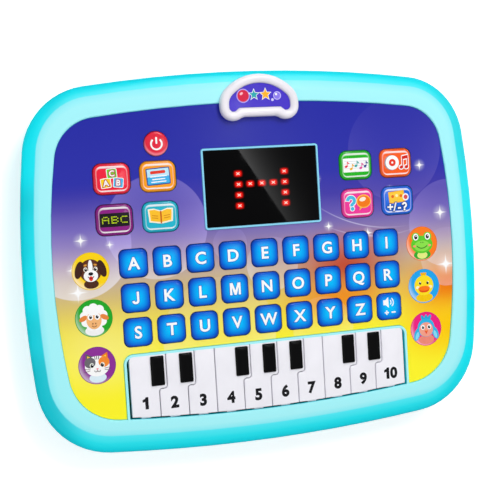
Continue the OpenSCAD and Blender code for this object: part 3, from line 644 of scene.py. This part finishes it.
def soften():
    """Modifier group that welds the frame's faces and shades them smooth, with sharp edges kept."""
    group = bpy.data.node_groups.new("soften", "GeometryNodeTree")
    group.interface.new_socket("Geometry", in_out="INPUT", socket_type="NodeSocketGeometry")
    group.interface.new_socket("Geometry", in_out="OUTPUT", socket_type="NodeSocketGeometry")
    make, link = group.nodes.new, group.links.new
    start, end = make("NodeGroupInput"), make("NodeGroupOutput")
    clean = make("GeometryNodeRemoveAttribute")
    clean.inputs["Name"].default_value = "custom_normal"
    weld = make("GeometryNodeMergeByDistance")
    weld.inputs["Distance"].default_value = 0.002 * MM
    smooth = make("GeometryNodeSetShadeSmooth")
    sharp = make("GeometryNodeSetShadeSmooth")
    sharp.domain = "EDGE"
    sharp.inputs["Shade Smooth"].default_value = False
    angle = make("GeometryNodeInputMeshEdgeAngle")
    wide = make("FunctionNodeCompare")
    wide.operation = "GREATER_THAN"
    wide.inputs[1].default_value = math.radians(32)
    link(angle.outputs[0], wide.inputs[0])
    link(wide.outputs[0], sharp.inputs["Selection"])
    steps = [start, clean, weld, smooth, sharp, end]
    for a, b in zip(steps, steps[1:]):
        link(a.outputs[0], b.inputs[0])
    return group


SOFTEN = soften()


def dress(node, material):
    """Gives a CAD node its material and soft shading."""
    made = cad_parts[node]
    for place in made.material_slots:
        place.material = material
    modifier = made.modifiers.new("soften", "NODES")
    modifier.node_group = SOFTEN


LAMP_PITCH_X = 6.2         # spacing of the lamps across the matrix, and down it
LAMP_PITCH_Y = 5.4
LAMP_GLOW_R = 2.7          # reach of a lit lamp's glow
LAMP_TILE = 5.8, 4.8, 1.2  # width, height and corner radius of the print that holds one glow

white_gloss = plastic("white_gloss", rgb("EFEBF2"), 0.2, 0.4)
rear = rear_plastic()
dress("front_housing", bezel_plastic())
dress("rear_housing", rear)
dress("battery_door", rear)
dress("face_film", film_print())
dress("screen_window", screen_plastic())
dress("badge_rim", white_gloss)
dress("badge_plate", plastic("badge_indigo", rgb("3A1FC4"), 0.2, 0.25))
dress("main_board", plastic("board_mask", rgb("1E6B3A"), 0.4, 0.3, 0.4))
dress("led_matrix", plastic("lamp_board", rgb("5A1414"), 0.4, 0.3, 0.3))
dress("batteries", plastic("cell_jacket", rgb("C8982C"), 0.3, 0.2))
dress("battery_contacts", metal("spring_steel", "B8BAC0", 0.3))
dress("speaker", plastic("speaker_frame", rgb("26282C"), 0.5, 0.3, 0.4))
dress("screws", metal("zinc_screw", "B4B6BA", 0.35))
dress("piano_rod", metal("rod_steel", "C0C2C6", 0.2))


# ---- letter keys

key_blue = key_plastic()
LETTER_H = 5.7             # height of a capital on a key
HALO = 0.3                 # width of the dark edge round a capital
BOLD = 0.28                # weight added to a capital
RIM = 0.1                  # width of the pale blue line inside that edge


def square_cap(node, corner_r, bevel, material):
    """Cap whose plan is a rectangle with round corners."""
    low, high = box_mm(node)
    w, h = high.x - low.x - 2 * FLANGE, high.y - low.y - 2 * FLANGE

    def outline(inset):
        return rounded(w - 2 * inset, h - 2 * inset, max(corner_r - inset, SMALLEST_R))

    return cap(node, outline, h / 2, bevel, material), w, h


def letter_cap(node, letter):
    piece = square_cap(node, KEY_CORNER, KEY_BEVEL, key_blue)[0]
    art = Art(piece, 0, crown)
    for weight, code in ((BOLD + HALO, "0468D0"), (BOLD, "74CCF6"), (BOLD - RIM, "FFFFFF")):
        art.stamp(glyph(letter, LETTER_H, weight), code)
    piece.stand_in(node, "blue_key")


def volume_cap(node):
    """Key with a loudspeaker sign over a plus and a minus."""
    piece = square_cap(node, KEY_CORNER, KEY_BEVEL, key_blue)[0]
    horn = [(-3.6, 0.9), (-2.4, 0.9), (-0.6, -0.6), (-0.6, 5.0), (-2.4, 3.5), (-3.6, 3.5)]
    shapes = [horn,
              arc_band(-0.6, 2.2, 1.5, 0.5, -50, 100), arc_band(-0.6, 2.2, 2.8, 0.55, -48, 96),
              rounded(2.4, 0.75, 0.2, -1.9, -3.2), rounded(0.75, 2.4, 0.2, -1.9, -3.2),
              rounded(2.4, 0.75, 0.2, 2.1, -3.2)]
    art = Art(piece, 0, crown)
    for shape in shapes:
        art.area("FFFFFF", shape)
    piece.stand_in(node, "blue_key")


for letter in "abcdefghijklmnopqrstuvwxyz":
    letter_cap("key_" + letter, letter.upper())
volume_cap("key_volume")


# ---- function buttons

def button_plastic(name, code):
    """Button body: painted shade deepens the colour over its rounded rim."""
    s = Shader(name, 0.16, 0.25)
    color = rgb(code)
    # Painted shade: the body colour darkens where the rim rolls away.
    over = s.math("MAXIMUM", s.smooth(s.abs(s.x), 7.0, 8.6), s.smooth(s.abs(s.y), 5.4, 7.0))
    body = s.mix(s.noise(8.0), shade(color, 0.95), shade(color, 1.05))
    s.paint(s.mix(over, body, shade(color, 0.8)))
    return s.finish(0.12, 0.2, 5.0, grain=0.06)


def glare_highlight(name, code):
    """Painted highlight: a pale line inside the rim, white above and below, tinted at the sides."""
    s = Shader(name, 0.2, 0.2)
    side = toward(rgb(code), WHITE, 0.3)
    s.paint(s.mix(s.smooth(s.abs(s.y), 4.4, 6.0), side, toward(rgb(code), WHITE, 0.75)))
    return s.finish(0.16, 0.24, 3.0)


def blocks_icon(art):
    """Three toy blocks in a stack."""
    for x, y, turn, code, sign in ((-3.1, -2.0, 6, "FFD21E", "A"), (3.0, -2.0, -7, "38B8F0", "B"),
                                   (0.0, 2.6, 3, "6CD02C", "C")):
        art.box("FFFFFF", 5.2, 4.9, 0.7, x, y, turn)
        art.box(code, 4.5, 4.2, 0.5, x, y, turn)
        art.sign(sign, 2.7, x, y, "FFFFFF", "B01030", turn)


def card_icon(art):
    """Blue card with lines."""
    art.box("1B4F9C", 12.0, 8.4, 0.6, 0, 0, 3)
    art.box("BFE8FA", 11.0, 7.4, 0.4, 0, 0, 3)
    art.box("43B4EC", 11.0, 3.6, 0.4, 0.1, -1.9, 3)
    art.box("E8331F", 7.6, 1.5, 0.6, -0.2, 2.0, 3)
    for y, width in ((0.0, 8.4), (-1.4, 6.6), (-2.7, 7.6)):
        art.box("FFFFFF", width, 0.55, 0.2, 0.1, y, 3)


PIXEL_SIGNS = ["01110 10001 11111 10001 10001", "11110 10001 11110 10001 11110",
               "01111 10000 10000 10000 01111"]


def pixel_icon(art):
    """Dark band with signs made of lit dots."""
    art.box("0A0510", 14.6, 6.6, 0.5)
    pitch = 0.72
    for number, sign in enumerate(PIXEL_SIGNS):
        for row, line in enumerate(sign.split()):
            for column, lit in enumerate(line):
                if lit == "1":
                    x = (number - 1) * 4.5 + (column - 2) * pitch
                    art.box("C4DC1E", 0.56, 0.56, 0.12, x, (2 - row) * pitch, steps=1)


def book_icon(art):
    """Open book."""
    for side in (-1, 1):
        page = [(0.0, -3.4), (side * 5.9, -2.4), (side * 6.4, 4.0), (side * 3.4, 4.2), (0.0, 3.0)]
        sheet = [(0.0, -2.7), (side * 5.2, -1.8), (side * 5.6, 3.4), (side * 3.2, 3.6), (0.0, 2.5)]
        art.area("FFF6DC", page)
        art.area("FFC22A", sheet)
        for y in (0.4, -0.7):
            art.box("D88A10", 3.2, 0.4, 0.15, side * 3.0, y + 0.2, side * 8)
    art.box("C85A18", 0.7, 6.2, 0.3, 0, -0.2)


def note(art, x, y, code, size):
    """Eighth note: head, stem and flag."""
    art.oval(code, x, y, 0.85 * size, 0.65 * size, 20, 20)
    art.box(code, 0.28 * size, 2.8 * size, 0.1 * size, x + 0.7 * size, y + 1.4 * size, steps=2)
    flag = ((0.6, 2.8), (1.9, 1.7), (1.7, 1.3), (0.6, 2.0))
    art.area(code, [(x + u * size, y + v * size) for u, v in flag])


def song_icon(art):
    """White strip with a stave and coloured notes."""
    art.box("FFFFFF", 14.4, 7.2, 0.4)
    for y in (-1.6, -0.4, 0.8, 2.0):
        art.box("B9C4D2", 13.4, 0.14, 0.05, 0, y, steps=1)
    for x, y, code in ((-5.6, -0.6, "E8203C"), (-2.9, -1.9, "F0B400"), (-0.2, -0.4, "12A6A0"),
                       (2.5, -1.6, "E03A9A"), (5.1, -0.8, "24308C")):
        note(art, x, y, code, 0.95)


def music_icon(art):
    """Disc beside a pair of notes."""
    art.oval("8E949C", -2.6, 0.2, 4.0)
    art.oval("FFFFFF", -2.2, 0.2, 3.8)
    art.oval("E8341C", -2.2, 0.2, 1.9)
    art.oval("FFFFFF", -2.2, 0.2, 0.6)
    for grow, code in ((0.55, "FFFFFF"), (0.0, "D81E14")):
        for x in (3.0, 6.0):
            art.oval(code, x, -2.4, 1.1 + grow, 0.85 + grow, 15, 24)
            art.box(code, 0.55 + grow * 1.6, 5.4 + grow, 0.2, x + 0.75, 0.2)
        bar = [(3.5 - grow / 2, 1.6 - grow), (7.1 + grow / 2, 2.2 - grow),
               (7.1 + grow / 2, 3.9 + grow), (3.5 - grow / 2, 3.3 + grow)]
        art.area(code, bar)


def question_icon(art):
    """Question mark and a speech bubble."""
    art.sign("?", 7.4, -3.8, 0.2, "3FB9E0", "FFFFFF", 8, 0.25)
    tail = [(0.4, -3.9), (1.4, -0.9), (3.4, -1.6)]
    art.oval("FFC04A", 3.2, 0.8, 4.2, 3.5)
    art.area("FFC04A", tail)
    art.oval("F57A14", 3.2, 0.8, 3.7, 3.0)
    art.oval("FFF0D8", 2.6, 1.9, 1.9, 1.1, 12)


def sums_icon(art):
    """Yellow card with dots over plus, minus and question signs."""
    art.box("FFB41E", 9.2, 6.2, 0.5, -0.6, 1.9, 5)
    art.box("FFCB3C", 8.2, 5.2, 0.4, -0.6, 1.9, 5)
    for x, y, code in ((-3.0, 2.2, "E8641C"), (-0.6, 2.6, "FFF2B0"), (1.8, 2.4, "E8641C")):
        art.oval(code, x, y, 0.8, count=20)
    art.area("F6F6FA", ellipse(4.6, 1.6, 1.9), ellipse(4.6, 1.6, 1.2))
    art.oval("D84A50", 4.6, 1.6, 1.2)
    for sign, x in (("+", -4.6), ("/", -2.0), ("-", 0.6), ("?", 3.6)):
        art.sign(sign, 4.2, x, -3.3, "FFFFFF", "0A3C8C", 0, 0.16)


# Node, body colour, record slot and what is printed on it
BUTTONS = [
    ("function_left_1", "F01438", "crimson_button", blocks_icon),
    ("function_left_2", "FF9E0C", "amber_button", card_icon),
    ("function_left_3", "8A1080", "purple_button", pixel_icon),
    ("function_left_4", "14B4CC", "cyan_button", book_icon),
    ("function_right_1", "14B414", "green_button", song_icon),
    ("function_right_2", "FA5A0C", "orange_button", music_icon),
    ("function_right_3", "F0349A", "pink_button", question_icon),
    ("function_right_4", "0C66E0", "azure_button", sums_icon),
]


def function_cap(node, code, slot, icon):
    piece, w, h = square_cap(node, FUNC_CORNER, FUNC_BEVEL, button_plastic(node + "_plastic", code))
    outer = rounded(w - 2.6, h - 2.6, FUNC_CORNER - 1.2)
    inner = rounded(w - 3.5, h - 4.4, FUNC_CORNER - 1.9, 0, -0.15)
    # Painted highlight: the pale glare line laid inside the button's rim.
    piece.stamp(flat(outer, inner), glare_highlight(node + "_glare", code), 0, surface=crown)
    icon(Art(piece, 1, crown))
    piece.stand_in(node, slot)


for button in BUTTONS:
    function_cap(*button)


def power_plastic():
    """Red, with a painted highlight: a pink crescent at its lower edge."""
    s = Shader("power_plastic", 0.16, 0.3)
    # Painted highlight: the red pales to pink in a crescent at the lower edge.
    lower_highlight = s.smooth(s.reach(0.0, 1.1, 6.6, 6.6), 0.78, 1.0)
    s.paint(s.mix(lower_highlight, s.mix(s.noise(6.0), rgb("DC1032"), rgb("E61A3A")), rgb("FF8494")))
    return s.finish(0.12, 0.2, 4.0, grain=0.06)


def power_cap(node):
    low, high = box_mm(node)
    radius = (high.x - low.x) / 2 - FLANGE
    piece = cap(node, lambda inset: ellipse(0, 0, radius - inset, count=48), radius, POWER_BEVEL,
                power_plastic())
    art = Art(piece, 0, crown)
    art.area("FFFFFF", arc_band(0, -0.2, 2.7, 0.85, 130, 280, 36))
    art.box("E41636", 1.9, 3.9, 0.5, 0, 1.5)
    art.box("FFFFFF", 0.95, 3.4, 0.45, 0, 1.5)
    piece.stand_in(node, "red_button")


power_cap("power_button")


# ---- piano keys

PIANO_CLEAR = 0.5          # clearance between two piano keys
PLATE_T = 2.2              # thickness of a key's plate
STEP_R = 1.1               # rounding of the step between two keys
BAY_R = 2.5                # rounding of the outermost keys in the corners of the bay
BLACK_H = 1.2              # height of a black key above it
BLACK_W = 6.8              # its width and length
BLACK_LEN = 14.8
BLACK_BACK = 1.0           # plate behind it, and in front of it
BLACK_FRONT = 1.7
BLACK_RIGHT = 1.2          # plate to its right, with half the clearance
FRONT_Y = -76.9            # front edge of the keys at the middle of the face
FRONT_R = 869.0            # radius of that edge
DIGIT_UP = 6.9             # height of the digits' middle above the front edge
DIGIT_H = 5.3
DIGIT_PITCH = 3.9          # spacing of the two digits of a ten
TAB_W = 5.0                # tab that hooks under the bezel
TAB_Z = 18.0
TAB_T = 1.5
TAB_R = 0.3
TAB_LEN = 7.0
ROOT_LEN = 4.7             # length of the web that carries the tab
SINK = 0.2                 # how far a part of a key reaches into the next
ROD_Y = -45.7              # middle of the rod that the keys turn on
ROD_Z = 17.44
BARREL_R = 2.16            # barrel on the rod, its width and its bore
BARREL_W = 7.0
BORE_R = 1.06
PLUNGER_Y = -64.4          # plunger over the switch dome
PLUNGER_R = 2.5

ivory = plastic("ivory_gloss", rgb("F3F2F9"), 0.2, 0.3)
black_gloss = plastic("black_gloss", rgb("020203"), 0.2, 0.06)
PIANO_NODES = ["piano_key_%d" % (i + 1) for i in range(10)]
PIANO_BOXES = [box_mm(node) for node in PIANO_NODES]


def front_edge(x):
    """Front edge of the piano keys, which lies on an arc."""
    return FRONT_Y + FRONT_R - math.sqrt(FRONT_R ** 2 - x * x)


def piano_cap(i):
    low, high = PIANO_BOXES[i]
    last = i == len(PIANO_NODES) - 1
    front_right = high.x if last else PIANO_BOXES[i + 1][0].x - PIANO_CLEAR
    has_black = high.x > front_right + 1
    after_black = i > 0 and PIANO_BOXES[i - 1][1].x > low.x + 1
    tail_left = PIANO_BOXES[i - 1][1].x + PIANO_CLEAR if after_black else low.x
    tail_y = high.y
    step_y = tail_y - BLACK_BACK - BLACK_LEN - BLACK_FRONT
    half = PIANO_CLEAR / 2
    outer_r = STEP_R + PIANO_CLEAR
    top = high.z - (BLACK_H if has_black else 0.0)
    middle = (low.x + front_right) / 2
    pivot = (tail_left + high.x) / 2
    piece = Piece()
    outline = [(low.x, front_edge(low.x)), (middle, front_edge(middle)),
               (front_right, front_edge(front_right))]
    if has_black:
        outline += arc(front_right + outer_r, step_y - half - STEP_R, outer_r, 180, -90)
        outline += arc(high.x - STEP_R, step_y + half + STEP_R, STEP_R, -90, 90)
    if last:
        outline += arc(high.x - BAY_R, tail_y - BAY_R, BAY_R, 0, 90, 5)
    else:
        outline.append((high.x, tail_y))
    if i == 0:
        outline += arc(low.x + BAY_R, tail_y - BAY_R, BAY_R, 90, 90, 5)
    else:
        outline.append((tail_left, tail_y))
    if after_black:
        outline += arc(tail_left - outer_r, step_y + half + STEP_R, outer_r, 0, -90)
        outline += arc(low.x + STEP_R, step_y - half - STEP_R, STEP_R, 90, 90)
    piece.prism(outline, top - PLATE_T, top, ivory, 0.35)
    if has_black:
        x = high.x + half - BLACK_RIGHT - BLACK_W / 2
        y = tail_y - BLACK_BACK - BLACK_LEN / 2
        sides = [(0.0, top - 0.3), (0.0, top + 0.35), (0.12, top + 0.75), (0.4, top + 1.05),
                 (0.75, top + BLACK_H), (2.2, top + BLACK_H)]
        rings = [[(px, py, z) for px, py in rounded(BLACK_W - 2 * d, BLACK_LEN - 2 * d, 0.6, x, y)]
                 for d, z in sides]
        piece.loft(rings, black_gloss)
    edge = front_edge(middle)
    under = top - PLATE_T + SINK
    tab = rounded(TAB_W, TAB_LEN, TAB_R, middle, edge + 0.5)
    root = rounded(TAB_W, ROOT_LEN, TAB_R, middle, edge + 1.65)
    piece.prism(tab, TAB_Z, TAB_Z + TAB_T, ivory)
    piece.prism(root, TAB_Z + TAB_T - SINK, top - 1.2, ivory)
    piece.prism(ellipse(middle, PLUNGER_Y, PLUNGER_R, count=32), low.z, under, ivory)
    barrel = [[(pivot + side * BARREL_W / 2, ROD_Y + u, ROD_Z + v) for u, v in ellipse(0, 0, r, count=32)]
              for side, r in ((-1, BORE_R), (-1, BARREL_R), (1, BARREL_R), (1, BORE_R))]
    piece.loft(barrel, ivory, tube=True)
    web = rounded(BARREL_W, 1.0, 0.1, pivot, ROD_Y - BARREL_R + 0.5, steps=1)
    piece.prism(web, ROD_Z + 0.4, under, ivory)
    digits = str(i + 1)
    for place, digit in enumerate(digits):
        piece.stamp(glyph(digit, DIGIT_H, 0.4), ink("08080E"), 0,
                    middle + (place - (len(digits) - 1) / 2) * DIGIT_PITCH, edge + DIGIT_UP, top)
    piece.stand_in(PIANO_NODES[i], "ivory_key")


for number in range(len(PIANO_NODES)):
    piano_cap(number)


# ---- printed touch spots

def spot_print(name, code):
    """Ground of a spot: its colour, with a painted highlight that pales it towards the lower left."""
    s = Shader(name, 0.18, 0.2)
    color = rgb(code)
    # Painted highlight: the ground pales in a crescent towards the lower left.
    light = s.smooth(s.reach(2.2, 2.4, 12.5, 12.5), 0.7, 1.0)
    s.paint(s.mix(light, s.mix(s.noise(5.0), shade(color, 0.95), shade(color, 1.04)),
                  toward(color, WHITE, 0.45)))
    return s.finish(0.14, 0.22, 6.0)


def eyes(art, x, y, r, pupil, white="FFFFFF"):
    """Pair of eyes, each with a spot of light."""
    for side in (-1, 1):
        art.oval(white, side * x, y, r, r * 1.15)
        art.oval("141018", side * (x - 0.1), y - 0.1, pupil, pupil * 1.2)
        art.oval("FFFFFF", side * x + 0.25, y + 0.35, pupil * 0.36, count=16)


def dog_picture(art):
    art.oval("4A2414", 0, -6.3, 3.6, 2.2)
    art.oval("5A2C18", 0, 0.2, 5.4, 5.6)
    art.oval("FFFFFF", 0, 1.9, 1.1, 3.6)
    art.oval("FFFFFF", 0, -2.3, 3.5, 2.9)
    for side in (-1, 1):
        art.oval("3A1A10", side * 5.6, 0.9, 1.9, 4.3, side * 16)
        art.oval("E09A3C", side * 2.4, 3.0, 0.8, 0.45, side * -14)
    eyes(art, 2.4, 0.9, 1.0, 0.72, "FFF4E4")
    art.oval("141018", 0, -1.3, 1.15, 0.8)
    art.oval("E8342C", 0, -3.6, 0.95, 1.15)
    art.area("141018", arc_band(0, -2.0, 1.5, 0.32, 200, 140))


def sheep_picture(art):
    art.oval("F4F4F4", 0, -6.0, 4.6, 2.5)
    for k in range(9):
        t = math.radians(40 * k + 10)
        art.oval("FFFFFF", 4.5 * math.cos(t), 0.6 + 4.4 * math.sin(t), 2.3)
    for side in (-1, 1):
        art.oval("E8863C", side * 5.2, 0.2, 2.2, 1.2, side * -28)
    art.oval("F6B878", 0, -0.9, 3.7, 4.4)
    art.oval("FFFFFF", 0, 3.4, 3.2, 1.9)
    eyes(art, 1.7, 0.7, 1.35, 0.7)
    for side in (-1, 1):
        art.oval("8A4A20", side * 0.7, -2.6, 0.28, 0.4)
    art.area("8A4A20", arc_band(0, -3.0, 1.2, 0.3, 205, 130))


def cat_picture(art):
    art.oval("DCEFF8", 0, -6.0, 4.2, 2.4)
    for side, code, inner in ((-1, "5C5A60", "FFD23C"), (1, "F0781E", "FFD23C")):
        art.area(code, [(side * 5.6, 1.0), (side * 5.3, 6.2), (side * 1.4, 4.2)])
        art.area(inner, [(side * 4.7, 2.6), (side * 4.6, 5.0), (side * 2.6, 4.0)])
    art.oval("FFFFFF", 0, -0.3, 6.0, 5.0)
    art.oval("6A686E", -3.4, 1.6, 2.7, 2.6, 12)
    art.oval("F58A2E", 3.4, 1.6, 2.7, 2.6, -12)
    for x in (-0.9, 0.0, 0.9):
        art.box("4A3A3A", 0.36, 1.7, 0.15, x, 3.8, x * -10)
    eyes(art, 2.6, 0.2, 1.05, 0.8, "F6FFF0")
    art.area("F0607C", [(-0.6, -1.4), (0.6, -1.4), (0.0, -2.2)])
    for side in (-1, 1):
        art.area("4A3A3A", arc_band(side * 0.75, -2.3, 0.75, 0.24, 180, 180))
        for turn in (-10, 8):
            art.box("6A5A60", 3.0, 0.2, 0.08, side * 5.0, -1.9 + turn * 0.06, side * turn)


def frog_picture(art):
    art.oval("2FA82A", 0, -6.0, 5.0, 2.6)
    art.oval("E6EE84", 0, -6.2, 3.0, 2.0)
    for side in (-1, 1):
        art.oval("5CCB2C", side * 3.5, 3.6, 2.4)
    art.oval("5CCB2C", 0, -0.5, 6.4, 4.7)
    art.oval("8AE04A", 0, -1.3, 4.6, 2.9)
    eyes(art, 3.5, 3.7, 1.6, 0.95)
    art.area("1E6E1E", arc_band(0, 1.6, 4.1, 0.42, 222, 96))
    for side in (-1, 1):
        art.oval("2C7A20", side * 0.6, 0.6, 0.24, 0.3)
        art.oval("F8A070", side * 4.5, -1.2, 0.9, 0.6)


def duck_picture(art):
    art.oval("F6C800", 0, -6.2, 5.0, 2.4)
    for turn in (-30, 0, 30):
        x = math.sin(math.radians(turn)) * 1.6
        art.oval("F6B400", -x, 6.0, 0.7, 1.5, turn)
    art.oval("FFE21E", 0, 0.4, 5.6, 5.4)
    eyes(art, 2.3, 1.7, 0.75, 0.65, "FFF6C0")
    for side in (-1, 1):
        art.oval("FFF2C8", side * 3.8, -0.6, 1.1, 0.8)
    art.oval("E8500C", 0, -2.1, 3.0, 1.35)
    art.oval("FF7A14", 0, -1.2, 3.4, 1.25)


def bird_picture(art):
    art.oval("F08A78", 0, -5.8, 4.6, 2.6)
    for turn in (-34, -4, 26):
        x = math.sin(math.radians(turn)) * 3.4
        art.oval("1EA6DC", -x, 5.4, 0.95, 2.3, turn)
    for side in (-1, 1):
        art.oval("28B4E8", side * 5.4, -2.6, 1.7, 3.6, side * 20)
        art.oval("8ADCF4", side * 5.4, -3.4, 0.9, 2.2, side * 20)
    art.oval("28B4E8", 0, 0.6, 5.0, 5.0)
    art.oval("F6A08A", 0, -0.4, 4.1, 3.9)
    eyes(art, 1.9, 0.9, 1.2, 0.7)
    art.area("E8401E", [(-1.1, -0.9), (1.1, -0.9), (0.0, -2.9)])
    art.area("FF8A3C", [(-1.1, -0.9), (1.1, -0.9), (0.0, -1.6)])


SPOT_R = 9.2               # radius of a touch spot
SPOT_RIM = 0.35            # width of its darker rim
SPOT_X = 89.2              # its distance from the middle of the face
SPOTS = [("dog", -1, 0.0, "FFD400", dog_picture), ("sheep", -1, -22.95, "14A61E", sheep_picture),
         ("cat", -1, -46.1, "8C2A96", cat_picture), ("frog", 1, 0.0, "FF7A14", frog_picture),
         ("duck", 1, -22.95, "12A4EE", duck_picture), ("bird", 1, -46.1, "EE1480", bird_picture)]
film_top = box_mm("face_film")[1].z

for name, side, y, code, picture in SPOTS:
    spot = Piece((side * SPOT_X, y, film_top))
    edge, inner = [ellipse(0, 0, r, count=72) for r in (SPOT_R, SPOT_R - SPOT_RIM)]
    spot.stamp(flat(edge), spot_print("spot_" + name, code), 0)
    spot.stamp(flat(edge, inner), plastic("spot_rim_" + name, shade(rgb(code), 0.8), 0.2, 0.3), 1)
    picture(Art(spot, 2))
    spot.finish("spot_print_" + name, "root", "printed_film")


# ---- badge print and lit lamps

def badge_picture(art):
    """Ball, two stars and bubbles in a row."""
    art.oval("B8A8F0", -8.6, -0.2, 3.5)
    art.oval("D81E44", -8.6, -0.2, 3.0)
    art.oval("FFC4CC", -9.5, 0.9, 0.9, 0.6, 35)
    art.area("FFFFFF", star(-2.9, 0.2, 3.2))
    art.area("1CA8B0", star(-2.9, 0.2, 2.5))
    art.area("FFFFFF", star(3.2, 0.2, 3.5))
    art.area("FFB61E", star(3.2, 0.2, 2.8))
    art.oval("C9C2FF", 9.4, -0.6, 2.1)
    art.oval("8B7AEC", 9.4, -0.6, 1.7)
    art.oval("FFFFFF", 8.9, 0.1, 0.6)
    art.oval("D6D0FF", 6.8, -2.6, 0.7)


BADGE_RISE = 0.9           # how far the picture lies above the middle of the plate
low, high = box_mm("badge_plate")
badge = Piece(((low.x + high.x) / 2, (low.y + high.y) / 2 + BADGE_RISE, high.z))
badge_picture(Art(badge))
badge.finish("badge_print", "root", "indigo_plate")

LIT_ROWS = ["10001", "11111", "10001", "10001"]
low, high = box_mm("led_matrix")
window_top = box_mm("screen_window")[1].z
lamps = Piece(((low.x + high.x) / 2, (low.y + high.y) / 2 + LAMP_PITCH_Y, window_top))
lamp_red = lamp_light()
for row, line in enumerate(LIT_ROWS):
    for column, lit in enumerate(line):
        if lit == "1":
            lamps.stamp(flat(rounded(*LAMP_TILE)), lamp_red, 0,
                        (column - 2) * LAMP_PITCH_X, -row * LAMP_PITCH_Y)
lamps.finish("lit_lamps", "root", "lamp_board")


# ---- stage, light and camera

def white_floor():
    """White floor that shows white and keeps the object's shadow."""
    s = Shader("white_floor", 0.6, 0.5)
    s.paint(rgb("FAFAFA"))
    s.give("Emission Color", WHITE)
    s.give("Emission Strength", s.seen_level(0.0, 0.4))
    return s.material


FLOOR_HALF = 3.0           # half the side of the floor, in metres
floor_mesh = bpy.data.meshes.new("floor")
corners = [(x * FLOOR_HALF, y * FLOOR_HALF, 0.0) for x, y in ((-1, -1), (1, -1), (1, 1), (-1, 1))]
floor_mesh.from_pydata(corners, [], [(0, 1, 2, 3)])
floor_mesh.materials.append(white_floor())
floor = add_object("floor", floor_mesh)

world = bpy.data.worlds.new("studio")
bpy.context.scene.world = world
sky = Nodes(world)
background = sky.tree.nodes["Background"]
sky.feed(background.inputs["Color"], WHITE)
sky.feed(background.inputs["Strength"], sky.seen_level(0.45, 1.0))


def softbox(name, place, size, power, target=(0.0, 0.0, 0.0)):
    """Square area light that looks at the target."""
    light = bpy.data.lights.new(name, "AREA")
    light.shape = "SQUARE"
    light.size = size
    light.energy = power
    made = add_object(name, light)
    made.location = place
    made.rotation_euler = (Vector(target) - Vector(place)).to_track_quat("-Z", "Y").to_euler()
    return made


softbox("key_light", (0.3, 0.62, 0.9), 0.4, 6.1)
softbox("fill_light", (-0.5, -0.35, 0.8), 0.8, 2.0)

# Faint light that fades from two of its edges: it lies on the screen window as a slanting sheen
SHEEN_EDGE = Vector((0.3, 0.033, 0.9))
SHEEN_ACROSS = Vector((0.847, 0.532, 0.0))
SHEEN_SIZE = 0.26
SHEEN_POWER = 8.0
SHEEN_FADE = 13.0          # how fast it fades across: a power of what is left of the way
sheen = softbox("window_sheen", SHEEN_EDGE + SHEEN_ACROSS * SHEEN_SIZE / 2, SHEEN_SIZE, SHEEN_POWER)
sheen.rotation_euler = (0.0, 0.0, math.atan2(SHEEN_ACROSS.y, SHEEN_ACROSS.x))
fade = Nodes(sheen.data)
across, along = fade.node("SeparateXYZ", fade.node("NewGeometry").outputs["Parametric"]).outputs[:2]
level = fade.times(fade.math("POWER", fade.math("SUBTRACT", 1.0, across), SHEEN_FADE), along)
fade.feed(fade.tree.nodes["Emission"].inputs["Strength"], level)

CAMERA_PLACE = Vector((-0.16775, 0.03748, 0.5193))
CAMERA_LOOK = Vector((0.306, -0.064, -0.9499)).normalized()
CAMERA_RIGHT = Vector((0.9489, -0.0604, 0.3098))
CAMERA_FOCAL = 74.2        # in millimetres, as the width of the sensor
CAMERA_SENSOR = 36.0

right = (CAMERA_RIGHT - CAMERA_LOOK * CAMERA_RIGHT.dot(CAMERA_LOOK)).normalized()
up = right.cross(CAMERA_LOOK)
lens = bpy.data.cameras.new("camera")
lens.lens = CAMERA_FOCAL
lens.sensor_width = CAMERA_SENSOR
camera = add_object("camera", lens)
axes = Matrix((right, up, -CAMERA_LOOK)).transposed().to_4x4()
camera.matrix_world = Matrix.Translation(CAMERA_PLACE) @ axes
bpy.context.scene.camera = camera
bpy.context.scene.view_settings.view_transform = "Standard"
